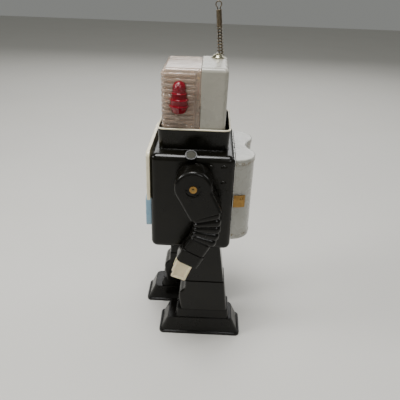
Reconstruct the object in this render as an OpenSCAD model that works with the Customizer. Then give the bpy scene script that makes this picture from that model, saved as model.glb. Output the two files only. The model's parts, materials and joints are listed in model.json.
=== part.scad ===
// Battery-driven walking tin robot with a picture drum behind its chest screen.
// Z is up, the robot faces -Y and its left hand is on +X. The modules are drawn with the
// crank shaft's axis at Y = 0, and the last lines move the whole robot so that the origin is
// on the floor under its middle. At rest the left leg is at the back of its stroke.

/* [Body] */
// Width of the chest box
body_w = 90; // [88:1:92]
// Depth of the chest box, front to back
body_d = 76; // [75:1:77]
// Height of the chest box
body_h = 96.5; // [96:0.5:97]
// Height of the chest box above the floor
body_base = 112.5; // [112:0.5:113]
// Radius of the rolled corners of the chest
body_r = 6; // [4:1:7]
// Wall of the pressed tin pieces
tin = 1; // [0.8:0.1:1.2]

/* [Head] */
// Width of the head
head_w = 61; // [58:1:62]
// Front of the head, measured forward of the centre
head_front = 29.5; // [28:0.5:30]
// Back of the head, measured behind the centre
head_back = 28; // [27:0.5:29]
// Height of the top of the head above the floor
head_top = 281; // [277:1:285]
// Radius of the corners of the head
head_r = 4; // [3:0.5:5]
// Height of one rib of the clear visor
rib_pitch = 4.6; // [4:0.2:5]
// Height of the neck collar
collar_h = 20.5; // [18:0.5:22]

/* [Arms and legs] */
// Distance that each foot travels, front to back
stride = 20; // [16:1:20]
// Angle that each arm swings through
arm_swing = 24; // [16:1:24]
// Length of a foot at the floor
foot_l = 87.5; // [85:0.5:88]
// Width of a foot at the floor
foot_w = 35.5; // [34:0.5:36]
// Thickness of an arm from side to side
arm_t = 22; // [20:0.5:22]

/* [Battery case] */
// Radius of each half of the twin battery case
tank_r = 17.7; // [17.6:0.1:17.8]
// Height of the battery case
tank_h = 82.5; // [80:0.5:84]
// Radius of one cell
cell_r = 16.5; // [16:0.1:16.5]
// Length of one cell without its tip
cell_l = 60; // [59:0.5:60.5]

/* [Drive] */
// Radius of the picture drum
drum_r = 13; // [12:0.5:13]
// Radius of the roller that turns the eye spindle
roller_r = 12; // [11:0.5:12]

/* [Hidden] */
$fn = 48;

black = "#17160f";
cream = "#d9cfae";
grey = "#b4b1a4";
steel = "#8d8f91";
brass = "#b08d45";

eps = 0.01;
gap = 0.3;
fit = 0.06;
body_top = body_base + body_h;
side = body_w / 2;
front = -body_d / 2;
back = body_d / 2;
panel_t = 0.8;
panel_rim = 3.2;
panel_w = 88.4;
panel_z = [163.8, 210.6];
floor_open = [72.5, 58];

// Head, split into the clear front and the enamelled rear
split_y = 4.6;
head_foot = body_top + 0.2;
collar_w = 67;
collar_d = 64.5;
visor_wall = 1.5;
face_y = -0.6;
eye_z = 252;
eye_window_x = 11.5;
eye_window_z = 256;
lamp_y = -13.3;
lamp_z = 243;

// Chest screen
screen_z = [131.5, 163.5];
screen_w = 76;
bezel_depth = 5.3;
screen_open = [50, 23];
screen_mid_z = (screen_z[0] + screen_z[1]) / 2;

// Switch knob
knob_tilt = 32;
knob_r = 5;
knob_stem_r = 2.2;
knob_foot = 6.6;

// Antenna
antenna = [-19, 18.6];
spring_foot = [-19, 20.8, 283.6];
spring_lean = 5.2;
coil_r = 3;

// Battery case and cells
cell_x = 22.5;
cell_y = back + 0.3;
cell_base = 129.5;
tank_base_z = 122.5;
lid_over = 0.5;
tank_web_y = 49;
tray_front = 20.4;

// Drive: shafts run from side to side except the spindle and the eye disc
gear_module = 1;
drive_teeth = 30;
pinion_teeth = 10;
drum_teeth = 20;
crank_y = 0;
crank_z = 133.5;
crank_throw = stride / 2;
motor_y = 8;
gear_gap = gear_module * (drive_teeth + pinion_teeth) / 2;
motor_z = crank_z + sqrt(gear_gap * gear_gap - motor_y * motor_y);
drum_y = -20;
drum_z = crank_z + 15;
gear_x = -24;
roller_x = 7.5;
wheel_r = 4.3;
frame_x = 29;
shaft_r = 2;
spindle_r = 1.5;

// Arms
shoulder = [2, 187.5];
shoulder_r = 16.5;
arm_in = side + 1;
arm_out = arm_in + arm_t;
bend = [-20.7, 147.8];
cuff_r = [22.6, 51.6];
bend_from = 21;
bend_to = -24;
forearm_top = [10.8, 134.2];
wrist = [-2, 109];
forearm_lean = 27;
forearm_l = 28.2;
forearm_w = 22.4;

// Legs and feet; y is for the left leg at the back of its stroke
leg_x = [11, 38];
leg_mid_y = 10;
foot_in = 8;
foot_back = 55.5;
foot_front = foot_back - foot_l;

// Middle of the robot, from the forward toe to the back of the battery case's lid
middle_y = (foot_front - stride + cell_y + tank_r + lid_over) / 2;
ledge_z = 20;
step_z = 31;
boot_top = 68;
leg_top = body_base - gap;
hanger_x = 33.5;
roller_y = [-12, 35];
roller_z = 5.4;
wheel_foot_r = 5;
roller_bay_x = [17, 31];
axle_r = 1.5;

// ---------------------------------------------------------------- shared shapes

module rounded_rect(w, d, r) {
    square([w - 2 * r, d], center = true);
    square([w, d - 2 * r], center = true);
    for (x = [-1, 1], y = [-1, 1])
        translate([x * (w / 2 - r), y * (d / 2 - r)]) circle(r);
}

// A box with its four upright corners rounded, standing on z = 0
module upright_box(w, d, h, r) {
    linear_extrude(h) rounded_rect(w, d, r);
}

// A box rounded on its upright corners and along its top and bottom edges
module soft_box(w, d, h, r) {
    intersection() {
        upright_box(w, d, h, r);
        translate([0, d / 2, h / 2]) rotate([90, 0, 0]) linear_extrude(d) rounded_rect(w, h, r);
        translate([-w / 2, 0, h / 2]) rotate([90, 0, 90]) linear_extrude(w) rounded_rect(d, h, r);
    }
}

// Extrudes a side-view outline, drawn in Y and Z, from one x to another
module from_side(x0, x1) {
    translate([x0, 0, 0]) rotate([90, 0, 90]) linear_extrude(x1 - x0) children();
}

// A round bar along X
module bar_x(x0, x1, y, z, r) {
    translate([x0, y, z]) rotate([0, 90, 0]) cylinder(r = r, h = x1 - x0);
}

module mirror_x() {
    children();
    mirror([1, 0, 0]) children();
}

// Places a left-hand leg piece on the right, at the front of its stroke
module on_right_leg() {
    translate([0, -stride, 0]) mirror([1, 0, 0]) children();
}

// Places a left-hand arm piece on the right, swung to the back
module on_right_arm() {
    translate([0, shoulder[0], shoulder[1]]) rotate([arm_swing, 0, 0])
        translate([0, -shoulder[0], -shoulder[1]]) mirror([1, 0, 0]) children();
}

function polar(r, a) = [r * cos(a), r * sin(a)];

// A spur gear along X with straight-sided teeth, one of which points along phase
module gear_along_x(x0, x1, y, z, teeth, bore_r, phase) {
    pitch_r = gear_module * teeth / 2;
    root_r = pitch_r - 1.2 * gear_module;
    tip_r = pitch_r + 0.8 * gear_module;
    step = 360 / teeth;
    flank = [[root_r - 0.3, 0.29 * step], [pitch_r, 0.2 * step], [tip_r, 0.09 * step]];
    rising = [for (p = flank) polar(p[0], -p[1])];
    falling = [for (i = [2:-1:0]) polar(flank[i][0], flank[i][1])];
    outline = concat(rising, falling);
    translate([x0, y, z]) rotate([90, 0, 90]) linear_extrude(x1 - x0) difference() {
        union() {
            circle(root_r);
            for (i = [0:teeth - 1]) rotate(phase + i * step) polygon(outline);
        }
        circle(bore_r);
    }
}

// ---------------------------------------------------------------- chest

module neck_hole() {
    translate([0, 0, body_top - 8]) upright_box(head_w - 8, 44, 20, 4);
}

// The outline of the chest, drawn in by inset all round
module chest_form(inset) {
    translate([0, 0, body_base + inset])
        soft_box(body_w - 2 * inset, body_d - 2 * inset, body_h - 2 * inset, body_r - inset);
}

module body_shell() {
    color(black) difference() {
        chest_form(0);
        chest_form(tin);
        translate([0, 0, body_base - 1]) upright_box(floor_open[0], floor_open[1], 4, 4);
        translate([-screen_open[0] / 2, front - 1, screen_mid_z - screen_open[1] / 2])
            cube([screen_open[0], 3, screen_open[1]]);
        neck_hole();
        translate([-41, back - 8, cell_base - 8]) cube([82, 10, body_top - 2.5 - cell_base + 8]);
        for (s = [-1, 1]) bar_x(s > 0 ? side - 3 : -side - 3, s > 0 ? side + 3 : -side + 3,
            shoulder[0], shoulder[1], 5.05);
        switch_seat() cylinder(r = knob_stem_r + 0.3, h = 10);
        mirror_x() for (y = [16.5, 28], z = [183.5, 198.5])
            translate([side - 3, y - 2.6, z]) cube([6, 5.2, 1]);
        mirror_x() translate([40.9, back - 8, 157]) cube([1.8, 10, 15]);
    }
}

// Plate with a deep rim along its top and sides; only the upper half of the outline is kept
module front_panel() {
    h = 2 * (panel_z[1] - panel_z[0]);
    color(cream) difference() {
        translate([0, front, panel_z[0]]) rotate([90, 0, 0]) linear_extrude(panel_rim)
            rounded_rect(panel_w, h, 5);
        translate([0, front - panel_t, panel_z[0]]) rotate([90, 0, 0]) linear_extrude(panel_rim)
            rounded_rect(panel_w - 4, h - 4, 3);
        translate([-body_w, front - 9, panel_z[0] - h]) cube([2 * body_w, 12, h]);
    }
}

module base_plate() {
    color(black) difference() {
        translate([0, 0, body_base + tin]) upright_box(floor_open[0] + 5, floor_open[1] + 5, tin, 4);
        mirror_x() translate([hanger_x - gap, -leg_mid_y - 8.4, body_base])
            cube([1.2 + 2 * gap, 2 * leg_mid_y + 16.8, 4]);
    }
}

module neck_collar() {
    color(black) {
        difference() {
            translate([0, 0, body_top]) upright_box(collar_w, collar_d, collar_h, 6);
            translate([0, 0, body_top - 1]) upright_box(collar_w - 2.4, collar_d - 2.4, collar_h + 2, 4.8);
        }
        difference() {
            translate([0, 0, body_top + collar_h - 1.4]) upright_box(collar_w + 1, collar_d + 1, 1.4, 6.5);
            translate([0, 0, body_top]) upright_box(collar_w - 2.4, collar_d - 2.4, 40, 4.8);
        }
    }
}

// ---------------------------------------------------------------- head

module head_form(inset) {
    h = head_top - head_foot;
    d = head_front + head_back - 2 * inset;
    translate([0, (head_back - head_front) / 2, head_foot - 10])
        soft_box(head_w - 2 * inset, d, h + 10 - inset, head_r - inset / 2);
}

module head_shell() {
    color(grey) difference() {
        head_form(0);
        head_form(tin);
        translate([-50, -60, head_foot - 20]) cube([100, 60 + split_y + 0.4, 120]);
        translate([-50, -60, head_foot - 20]) cube([100, 120, 20]);
    }
}

module visor() {
    color([0.86, 0.78, 0.74, 0.5]) difference() {
        union() {
            intersection() {
                head_form(0.7);
                translate([-50, -60, head_foot]) cube([100, 60 + split_y, 120]);
            }
            intersection() {
                head_form(0);
                union() {
                    for (z = [head_foot + 16 : rib_pitch : head_top - 4])
                        translate([-50, -60, z]) cube([100, 60 + split_y - 4.2, rib_pitch * 0.55]);
                    translate([-50, split_y - 4.2, head_foot]) cube([100, 1.2, 120]);
                    translate([-50, -60, head_top - 1]) cube([100, 60 + split_y, 5]);
                }
            }
        }
        head_form(0.7 + visor_wall);
        translate([-50, -60, head_foot - 20]) cube([100, 120, 20]);
    }
}

// A beacon cut in half from top to bottom, flat against the side of the visor
module ear_lamps() {
    profile = [[0, 0], [5.4, 0], [7.6, 3.6], [8.6, 4.2], [8.6, 5], [7.2, 5.4], [7.2, 9.2], [8.4, 9.7],
        [8.4, 10.5], [6.9, 10.9], [6.9, 14.6], [7.4, 15], [7.4, 15.8], [5.8, 16.2], [5.8, 21.2],
        for (a = [0:15:90]) [5.8 * cos(a), 21.2 + 5.8 * sin(a)]];
    color("#a01218") mirror_x() difference() {
        translate([head_w / 2, lamp_y, lamp_z]) rotate_extrude($fn = 40) polygon(profile);
        translate([head_w / 2 - 20, lamp_y - 20, lamp_z - 1]) cube([20, 40, 40]);
    }
}

module face_plate() {
    color(grey) difference() {
        translate([-head_w / 2 + visor_wall + 1, face_y - 0.5, head_foot + 1])
            cube([head_w - 2 * visor_wall - 2, 1, head_top - head_foot - 4]);
        for (x = [-eye_window_x, eye_window_x])
            translate([x, face_y - 3, eye_window_z]) rotate([-90, 0, 0]) cylinder(r = 5.5, h = 6);
        translate([0, face_y - 3, eye_z]) rotate([-90, 0, 0]) cylinder(r = spindle_r + fit, h = 6);
    }
}

module eye_disc() {
    color("#c8452c") {
        translate([0, face_y + 2, eye_z]) rotate([-90, 0, 0]) cylinder(r = 19, h = 1.9);
        translate([0, face_y - 2, eye_z]) rotate([-90, 0, 0]) cylinder(r = spindle_r, h = 4.5);
    }
}

module antenna_base() {
    color(brass) difference() {
        translate([antenna[0], antenna[1], head_top]) rotate_extrude()
            polygon([[0, 0], [6.2, 0], [6.2, 1], for (a = [10:20:90]) [6 * cos(a), 1 + 3 * sin(a)]]);
        translate(spring_foot) rotate([spring_lean, 0, 0]) cylinder(r = coil_r + 0.02, h = 6);
    }
}

// The spring's outer shape: an open coil, a doubled wire and the loop at its tip
module antenna_spring() {
    coil_l = 24.6;
    wire_l = 15.4;
    loop_r = 2.4;
    color(steel) translate(spring_foot) rotate([spring_lean, 0, 0]) {
        cylinder(r = coil_r, h = coil_l);
        translate([0, 0, coil_l]) cylinder(r = 2.1, h = wire_l);
        translate([0, 0, coil_l + wire_l + loop_r]) rotate([0, 90, 0]) rotate_extrude()
            translate([loop_r, 0]) circle(0.5, $fn = 16);
    }
}

// ---------------------------------------------------------------- chest screen

module screen_bezel() {
    h = screen_z[1] - screen_z[0];
    color("#9fb6c4") difference() {
        translate([0, front, screen_mid_z]) rotate([90, 0, 0]) linear_extrude(bezel_depth)
            rounded_rect(screen_w, h, 5);
        translate([0, front + 1, screen_mid_z]) rotate([90, 0, 0]) linear_extrude(bezel_depth + 3)
            rounded_rect(screen_open[0], screen_open[1], 4);
    }
}

module screen_window() {
    color([0.8, 0.85, 0.88, 0.4])
        translate([0, front - panel_t - 0.6, screen_mid_z]) rotate([90, 0, 0]) linear_extrude(1.2)
            rounded_rect(screen_open[0] - 0.2, screen_open[1] - 0.2, 4);
}

module screen_drum() {
    color("#3e6fa3") difference() {
        bar_x(-18, 18, drum_y, drum_z, drum_r);
        bar_x(-17, 17, drum_y, drum_z, drum_r - 1);
    }
    color(steel) difference() {
        bar_x(-frame_x - 2, frame_x + 2, drum_y, drum_z, shaft_r);
        bar_x(-17.5, 17.5, drum_y, drum_z, shaft_r + 1);
    }
    color(steel) bar_x(-17.5, 17.5, drum_y, drum_z, shaft_r);
}

module bulb_holder() {
    color(brass) translate([0, drum_y, 168.5]) difference() {
        cylinder(r = 5, h = 7.5);
        translate([0, 0, -1]) cylinder(r = 4, h = 5);
    }
}

module bulb() {
    color([0.95, 0.95, 0.85, 0.6]) translate([0, drum_y, 162.6]) rotate_extrude()
        polygon([[0, 0], for (a = [-75:15:0]) [3.6 * cos(a), 3.6 + 3.6 * sin(a)], [3.6, 9.6], [0, 9.6]]);
}

// ---------------------------------------------------------------- drive

drive_to_pinion = atan2(motor_z - crank_z, motor_y - crank_y);
drive_to_drum = atan2(drum_z - crank_z, drum_y - crank_y);
drive_step = 360 / drive_teeth;
drum_slip = drive_to_pinion - drive_to_drum
    + drive_step * round((drive_to_drum - drive_to_pinion) / drive_step);

module drive_gear() {
    color(brass) gear_along_x(gear_x, gear_x + 3, crank_y, crank_z, drive_teeth, shaft_r,
        drive_to_pinion);
}

module drum_gear() {
    color(cream) gear_along_x(gear_x, gear_x + 3, drum_y, drum_z, drum_teeth, shaft_r,
        drive_to_drum + 180 - drum_slip * drive_teeth / drum_teeth + 180 / drum_teeth);
}

module motor_shaft() {
    color(steel) {
        bar_x(-frame_x - 1.5, -18.5, motor_y, motor_z, shaft_r - 0.5);
        bar_x(3.5, 12, motor_y, motor_z, shaft_r - 0.5);
        gear_along_x(gear_x - 0.5, gear_x + 3.5, motor_y, motor_z, pinion_teeth, shaft_r - 0.6,
            drive_to_pinion + 180 + 180 / pinion_teeth);
    }
}

module motor() {
    color(steel) difference() {
        bar_x(-19, 4, motor_y, motor_z, 10.5);
        bar_x(-20, -18.3, motor_y, motor_z, shaft_r - 0.5 + fit);
        bar_x(3.3, 5, motor_y, motor_z, shaft_r - 0.5 + fit);
    }
}

module friction_roller() {
    color("#2b2724") difference() {
        bar_x(roller_x - 1.5, roller_x + 1.5, motor_y, motor_z, roller_r);
        bar_x(roller_x - 3, roller_x + 3, motor_y, motor_z, shaft_r - 0.5);
    }
}

// Upright spindle with a friction disc at the foot and a small wheel at the top
module eye_spindle() {
    disc_z = motor_z + roller_r + gap;
    color("#cfc8b4") {
        translate([0, motor_y, disc_z]) cylinder(r = 9.5, h = 2);
        translate([0, motor_y, disc_z]) cylinder(r = spindle_r, h = eye_z - 9 - disc_z);
        translate([0, motor_y, eye_z - 13.5]) cylinder(r = wheel_r, h = 3);
    }
}

module crank_shaft() {
    color(steel) {
        bar_x(-frame_x - 2.5, frame_x + 2.5, crank_y, crank_z, shaft_r);
        for (s = [-1, 1]) {
            x = s > 0 ? frame_x + 1.8 : -frame_x - 3.2;
            bar_x(x, x + 1.4, crank_y, crank_z, crank_throw + 3);
            pin_x = s > 0 ? x + 1.4 : x - 1;
            bar_x(pin_x, pin_x + 1, crank_y + s * crank_throw, crank_z, 1.6);
        }
    }
}

// Two side plates on the chest floor with their tie bars, the lamp bridge and the spindle bridge
module gear_frame() {
    floor_z = body_base + 2 * tin;
    color(steel) difference() {
        union() {
            mirror_x() {
                translate([frame_x, -31, floor_z]) cube([1, 49.5, 64]);
                translate([frame_x, -31, floor_z]) cube([3.9, 49.5, 1]);
            }
            bar_x(-frame_x, frame_x, -27, 172, 1.5);
            bar_x(-frame_x, frame_x, -22, 124, 1.5);
            translate([-frame_x, drum_y - 6, 176]) cube([2 * frame_x, 12, 1]);
            translate([-frame_x, motor_y - 6, 172]) cube([2 * frame_x, 10, 1]);
        }
        bar_x(-50, 50, crank_y, crank_z, shaft_r + fit);
        bar_x(-50, 50, drum_y, drum_z, shaft_r + fit);
        bar_x(-50, -20, motor_y, motor_z, shaft_r - 0.5 + fit);
        translate([0, motor_y, 165]) cylinder(r = spindle_r + fit, h = 12);
    }
}

// ---------------------------------------------------------------- battery case

module tank_outline(grow) {
    r = tank_r + grow;
    intersection() {
        union() {
            for (s = [-1, 1]) translate([s * cell_x, cell_y]) circle(r);
            translate([-cell_x, cell_y]) square([2 * cell_x, tank_web_y - cell_y + grow]);
        }
        translate([-60, cell_y]) square([120, 60]);
    }
}

module tank_shell() {
    color(grey) translate([0, 0, tank_base_z + 4.6]) linear_extrude(tank_h - 9.2) difference() {
        tank_outline(0);
        translate([0, -0.05]) tank_outline(-tin);
        translate([-cell_x, cell_y - 1]) square([2 * cell_x, tank_web_y - cell_y + 1 - tin]);
    }
}

module tank_lid() {
    color(grey) translate([0, 0, tank_base_z + tank_h - 4.5]) difference() {
        linear_extrude(4.5) tank_outline(lid_over);
        translate([0, -0.05, -1]) linear_extrude(4.5) tank_outline(-tin);
    }
}

module tank_base() {
    color(grey) translate([0, 0, tank_base_z]) difference() {
        linear_extrude(4.5) tank_outline(0.4);
        translate([0, -0.05, 1]) linear_extrude(4.5) tank_outline(-tin);
    }
}

// A five-sided tin tray that closes the chest and carries the cells
module battery_tray() {
    z0 = cell_base - 6;
    h = 79;
    color(steel) difference() {
        translate([-40.6, tray_front, z0]) cube([81.2, back - tray_front, h]);
        translate([-39.6, tray_front + 1, z0 + 1]) cube([79.2, back, h - 2]);
    }
}

module batteries() {
    color("#3b3f45") for (s = [-1, 1]) translate([s * cell_x, cell_y, cell_base]) {
        cylinder(r = cell_r, h = cell_l);
        translate([0, 0, s > 0 ? cell_l : -1.5]) cylinder(r = 4.5, h = 1.5);
    }
}

module contact_springs() {
    z0 = cell_base - 5;
    color(brass) {
        translate([-cell_x - 8, tray_front + 4, z0]) cube([2 * cell_x + 16, 18, 0.6]);
        translate([cell_x, cell_y, z0 + 0.6]) cylinder(r1 = 7, r2 = 4, h = 4.4);
        translate([-cell_x - 4, tray_front + 8, z0 + 0.6]) cube([8, 14, 2.9]);
        for (s = [-1, 1]) {
            cell_end = cell_base + cell_l + (s > 0 ? 1.5 : 0);
            translate([s * cell_x - 7, tray_front + 4, z0 + 76.4]) cube([14, 18, 0.6]);
            translate([s * cell_x, cell_y, cell_end]) cylinder(r1 = 3, r2 = 6, h = z0 + 76.4 - cell_end);
        }
    }
}

// ---------------------------------------------------------------- catches and switch

// A bent spring leaf whose root enters a slot at the rear corner of the chest
module catch() {
    color(brass) translate([0, 0, 158.7]) linear_extrude(12.3)
        polygon([[41.4, back + 0.2], [42.3, back + 0.2], [42, back + 5.5], [41.3, back + 11],
            [40.4, back + 11], [41.1, back + 5.3]]);
}

module catch_left() { catch(); }
module catch_right() { mirror([1, 0, 0]) catch(); }

module switch_seat() {
    translate([side - 3.5, -1.3, body_top - 8]) rotate([0, knob_tilt, 0]) children();
}

module switch_knob() {
    color(black) switch_seat() {
        translate([0, 0, knob_foot]) rotate_extrude()
            polygon([[0, 0], [knob_r, 0], [knob_r, 5.4], [knob_r - 0.5, 6], [0, 6]]);
        translate([0, 0, -4]) cylinder(r = knob_stem_r, h = knob_foot + 4.5);
    }
}

module switch_block() {
    color("#4d3a28") switch_seat() difference() {
        translate([-8, -7, -6]) cube([9.5, 14, 5]);
        translate([0, 0, -7]) cylinder(r = knob_stem_r + fit, h = 10);
    }
}

// ---------------------------------------------------------------- arms

module shoulder_bushes() {
    color(brass) mirror_x() difference() {
        union() {
            bar_x(side - 7, side + 0.2, shoulder[0], shoulder[1], 5);
            bar_x(side - 7, side - tin - 0.05, shoulder[0], shoulder[1], 7);
        }
        bar_x(side - 8, side + 2, shoulder[0], shoulder[1], 2.5 + fit);
    }
}

module arm_pivot() {
    color(brass) {
        bar_x(side - 9, arm_out - 1.2, shoulder[0], shoulder[1], 2.5);
        bar_x(arm_out - 2.2, arm_out - 0.4, shoulder[0], shoulder[1], 3.3);
        bar_x(side - 10, side - 8.6, shoulder[0], shoulder[1], 5);
    }
}

// Rounded drum of the shoulder that tapers down into the upper arm
module upper_arm() {
    color(black) difference() {
        union() {
            translate([arm_in, shoulder[0], shoulder[1]]) rotate([0, 90, 0]) rotate_extrude()
                polygon([[0, 0], [shoulder_r, 0], for (a = [0:15:90])
                    [shoulder_r - 4 + 4 * cos(a), arm_t - 4 + 4 * sin(a)], [0, arm_t]]);
            from_side(arm_in, arm_out - 1) polygon([
                shoulder + polar(shoulder_r - 0.2, 200), bend + polar(cuff_r[0], bend_from),
                bend + polar(cuff_r[1], bend_from), shoulder + polar(shoulder_r - 0.2, 355)]);
        }
        bar_x(arm_out - 4, arm_out + 2, shoulder[0], shoulder[1], 6);
        bar_x(arm_in - 1, arm_out + 1, shoulder[0], shoulder[1], 2.5);
    }
}

module bend_slice(from, to, r0, r1, x0, x1) {
    translate([x0, bend[0], bend[1]]) rotate([90, 0, 90]) rotate([0, 0, to])
        rotate_extrude(angle = from - to) translate([r0, 0]) square([r1 - r0, x1 - x0]);
}

// Five pleats that fan out round the inside of the bend
module elbow() {
    pleat = (bend_from - bend_to) / 5;
    color(black) difference() {
        union() {
            bend_slice(bend_from, bend_to, cuff_r[0] + 2.9, cuff_r[1] - 6.6, arm_in + 1.5, arm_out - 2.5);
            for (i = [0:4]) bend_slice(
                bend_from - i * pleat - pleat * 0.25, bend_from - (i + 1) * pleat + pleat * 0.25,
                cuff_r[0] + 1, cuff_r[1] - 2.2 - 0.6 * i, arm_in + 0.6, arm_out - 1.4);
        }
        forearm_form();
    }
}

module forearm_form() {
    translate([arm_in + 0.6, forearm_top[0], forearm_top[1]]) rotate([-forearm_lean, 0, 0])
        translate([arm_t / 2 - 1, 0, -forearm_l]) upright_box(arm_t - 2, forearm_w, forearm_l, 3.5);
}

module forearm() {
    color(black) forearm_form();
}

// A claw of two plates joined across the top and the back
module hand() {
    plate = [[-9.4, 0], [5.6, 0], [6.3, -8], [7.3, -17], [6.6, -18.4], [-5.6, -20.2], [-6.8, -19.6],
        [-7.6, -14], [-8.6, -12.6], [-9.6, -5]];
    color(cream) translate([0, wrist[0], wrist[1]]) rotate([-forearm_lean, 0, 0]) {
        from_side(arm_out - 5, arm_out - 3) polygon(plate);
        from_side(arm_in + 9, arm_in + 11) polygon(plate);
        from_side(arm_in + 10, arm_out - 4) polygon([[-8, 0], [5.2, 0], [5.8, -8], [6.4, -14], [4.4, -14],
            [4, -3.6], [-8, -2.4]]);
    }
}

module upper_arm_left() { upper_arm(); }
module elbow_left() { elbow(); }
module forearm_left() { forearm(); }
module hand_left() { hand(); }
module arm_pivot_left() { arm_pivot(); }
module upper_arm_right() { on_right_arm() upper_arm(); }
module elbow_right() { on_right_arm() elbow(); }
module forearm_right() { on_right_arm() forearm(); }
module hand_right() { on_right_arm() hand(); }
module arm_pivot_right() { on_right_arm() arm_pivot(); }

// ---------------------------------------------------------------- legs and feet

// Plate that hangs from the crank through the slot in the chest floor
module hanger() {
    color(steel) from_side(hanger_x, hanger_x + 1.2) difference() {
        union() {
            translate([leg_mid_y - 8, 100]) square([16, 50]);
            translate([leg_mid_y - 12, 98]) square([24, 12]);
        }
        translate([leg_mid_y - 1.9, crank_z - crank_throw - 2]) square([3.8, 2 * crank_throw + 4]);
    }
}

module leg() {
    outer = [[-4.3, boot_top], [34.8, boot_top], [28.8, leg_top], [-4.3, leg_top]];
    color(black) difference() {
        from_side(leg_x[0], leg_x[1]) polygon(outer);
        from_side(leg_x[0] + tin, leg_x[1] - tin)
            polygon([[-3.3, boot_top - 1], [33.8, boot_top - 1], [27.8, leg_top - tin],
                [-3.3, leg_top - tin]]);
        translate([hanger_x - 0.2, leg_mid_y - 8.2, 96]) cube([1.6, 16.4, 30]);
    }
}

module boot() {
    color(black) difference() {
        from_side(leg_x[0] - 1, leg_x[1] + 1) polygon([[-9, step_z], [39.7, step_z], [35.6, boot_top],
            [-4.8, boot_top], [-4.8, 58], [-7.5, 55.5], [-11, 51]]);
        from_side(leg_x[0], leg_x[1]) polygon([[-8, step_z - 1], [38.6, step_z - 1], [34.8, boot_top - eps],
            [-4.3, boot_top - eps], [-4.3, 58], [-7, 54.5], [-10, 50.6]]);
        from_side(leg_x[0], leg_x[1]) polygon([[-4.3, 60], [34.8, 60], [34.8, 70], [-4.3, 70]]);
    }
}

// Drafted block between two rounded outlines, given as [x0, x1, y0, y1, z]
module draft_block(low, high, r) {
    hull() for (b = [low, high])
        translate([(b[0] + b[1]) / 2, (b[2] + b[3]) / 2, b[4]])
            linear_extrude(0.4) rounded_rect(b[1] - b[0], b[3] - b[2], r, $fn = 32);
}

module foot() {
    x0 = foot_in;
    x1 = foot_in + foot_w;
    low = [x0 + 1, x1 - 1.2, foot_front + 1.6, foot_back - 1.6, 2];
    high = [x0 + 3, x1 - 3.4, foot_front + 9.6, foot_back - 9.6, ledge_z - 0.4];
    color(black) difference() {
        union() {
            translate([(x0 + x1) / 2, (foot_front + foot_back) / 2, 0]) upright_box(foot_w, foot_l, 3, 5);
            draft_block(low, high, 5);
            draft_block([12, 39, -14.5, 42.5, ledge_z - 1], [13, 38.6, -13, 41.5, step_z - 0.4], 4);
        }
        draft_block([x0 + 2.4, x1 - 2.6, foot_front + 3, foot_back - 3, -1],
            [x0 + 4.6, x1 - 5, foot_front + 11.4, foot_back - 11.4, ledge_z - 2.4], 4);
    }
    color(black) for (y = roller_y, x = [roller_bay_x[0] - 3.3, roller_bay_x[1] + 1.3])
        difference() {
            translate([x, y - 4, 2.2]) cube([2, 8, ledge_z - 3.6]);
            bar_x(x - 1, x + 3, y, roller_z, axle_r + fit);
        }
}

module sole() {
    color(steel) difference() {
        translate([foot_in + foot_w / 2, (foot_front + foot_back) / 2, 0.7])
            upright_box(foot_w - 6, foot_l - 8.4, 1, 4);
        for (y = roller_y)
            translate([roller_bay_x[0] - 4, y - 6.5, -1])
                cube([roller_bay_x[1] - roller_bay_x[0] + 8, 13, 4]);
    }
}

// Rubber-faced roller moulded with its two stub axles
module roller(y) {
    x0 = roller_bay_x[0];
    x1 = roller_bay_x[1];
    color("#5c5a55") {
        bar_x(x0, x1, y, roller_z, wheel_foot_r);
        bar_x(x0 - 3.2, x1 + 3.2, y, roller_z, axle_r);
    }
}

module hanger_left() { hanger(); }
module leg_left() { leg(); }
module boot_left() { boot(); }
module foot_left() { foot(); }
module sole_left() { sole(); }
module roller_left_front() { roller(roller_y[0]); }
module roller_left_rear() { roller(roller_y[1]); }
module hanger_right() { on_right_leg() hanger(); }
module leg_right() { on_right_leg() leg(); }
module boot_right() { on_right_leg() boot(); }
module foot_right() { on_right_leg() foot(); }
module sole_right() { on_right_leg() sole(); }
module roller_right_front() { on_right_leg() roller(roller_y[0]); }
module roller_right_rear() { on_right_leg() roller(roller_y[1]); }

translate([0, -middle_y, 0]) {
    body_shell();
    front_panel();
    base_plate();
    neck_collar();
    head_shell();
    visor();
    ear_lamps();
    face_plate();
    screen_bezel();
    screen_window();
    gear_frame();
    motor();
    bulb_holder();
    bulb();
    antenna_base();
    antenna_spring();
    battery_tray();
    batteries();
    contact_springs();
    switch_block();
    shoulder_bushes();
    switch_knob();
    catch_left();
    catch_right();
    tank_shell();
    tank_lid();
    tank_base();
    crank_shaft();
    drive_gear();
    motor_shaft();
    friction_roller();
    screen_drum();
    drum_gear();
    eye_spindle();
    eye_disc();
    hanger_left();
    leg_left();
    boot_left();
    foot_left();
    sole_left();
    hanger_right();
    leg_right();
    boot_right();
    foot_right();
    sole_right();
    roller_left_front();
    roller_left_rear();
    roller_right_front();
    roller_right_rear();
    upper_arm_left();
    elbow_left();
    forearm_left();
    hand_left();
    arm_pivot_left();
    upper_arm_right();
    elbow_right();
    forearm_right();
    hand_right();
    arm_pivot_right();
}
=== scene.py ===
import json
import math

import bmesh
import bpy
from mathutils import Matrix, Vector


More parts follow.
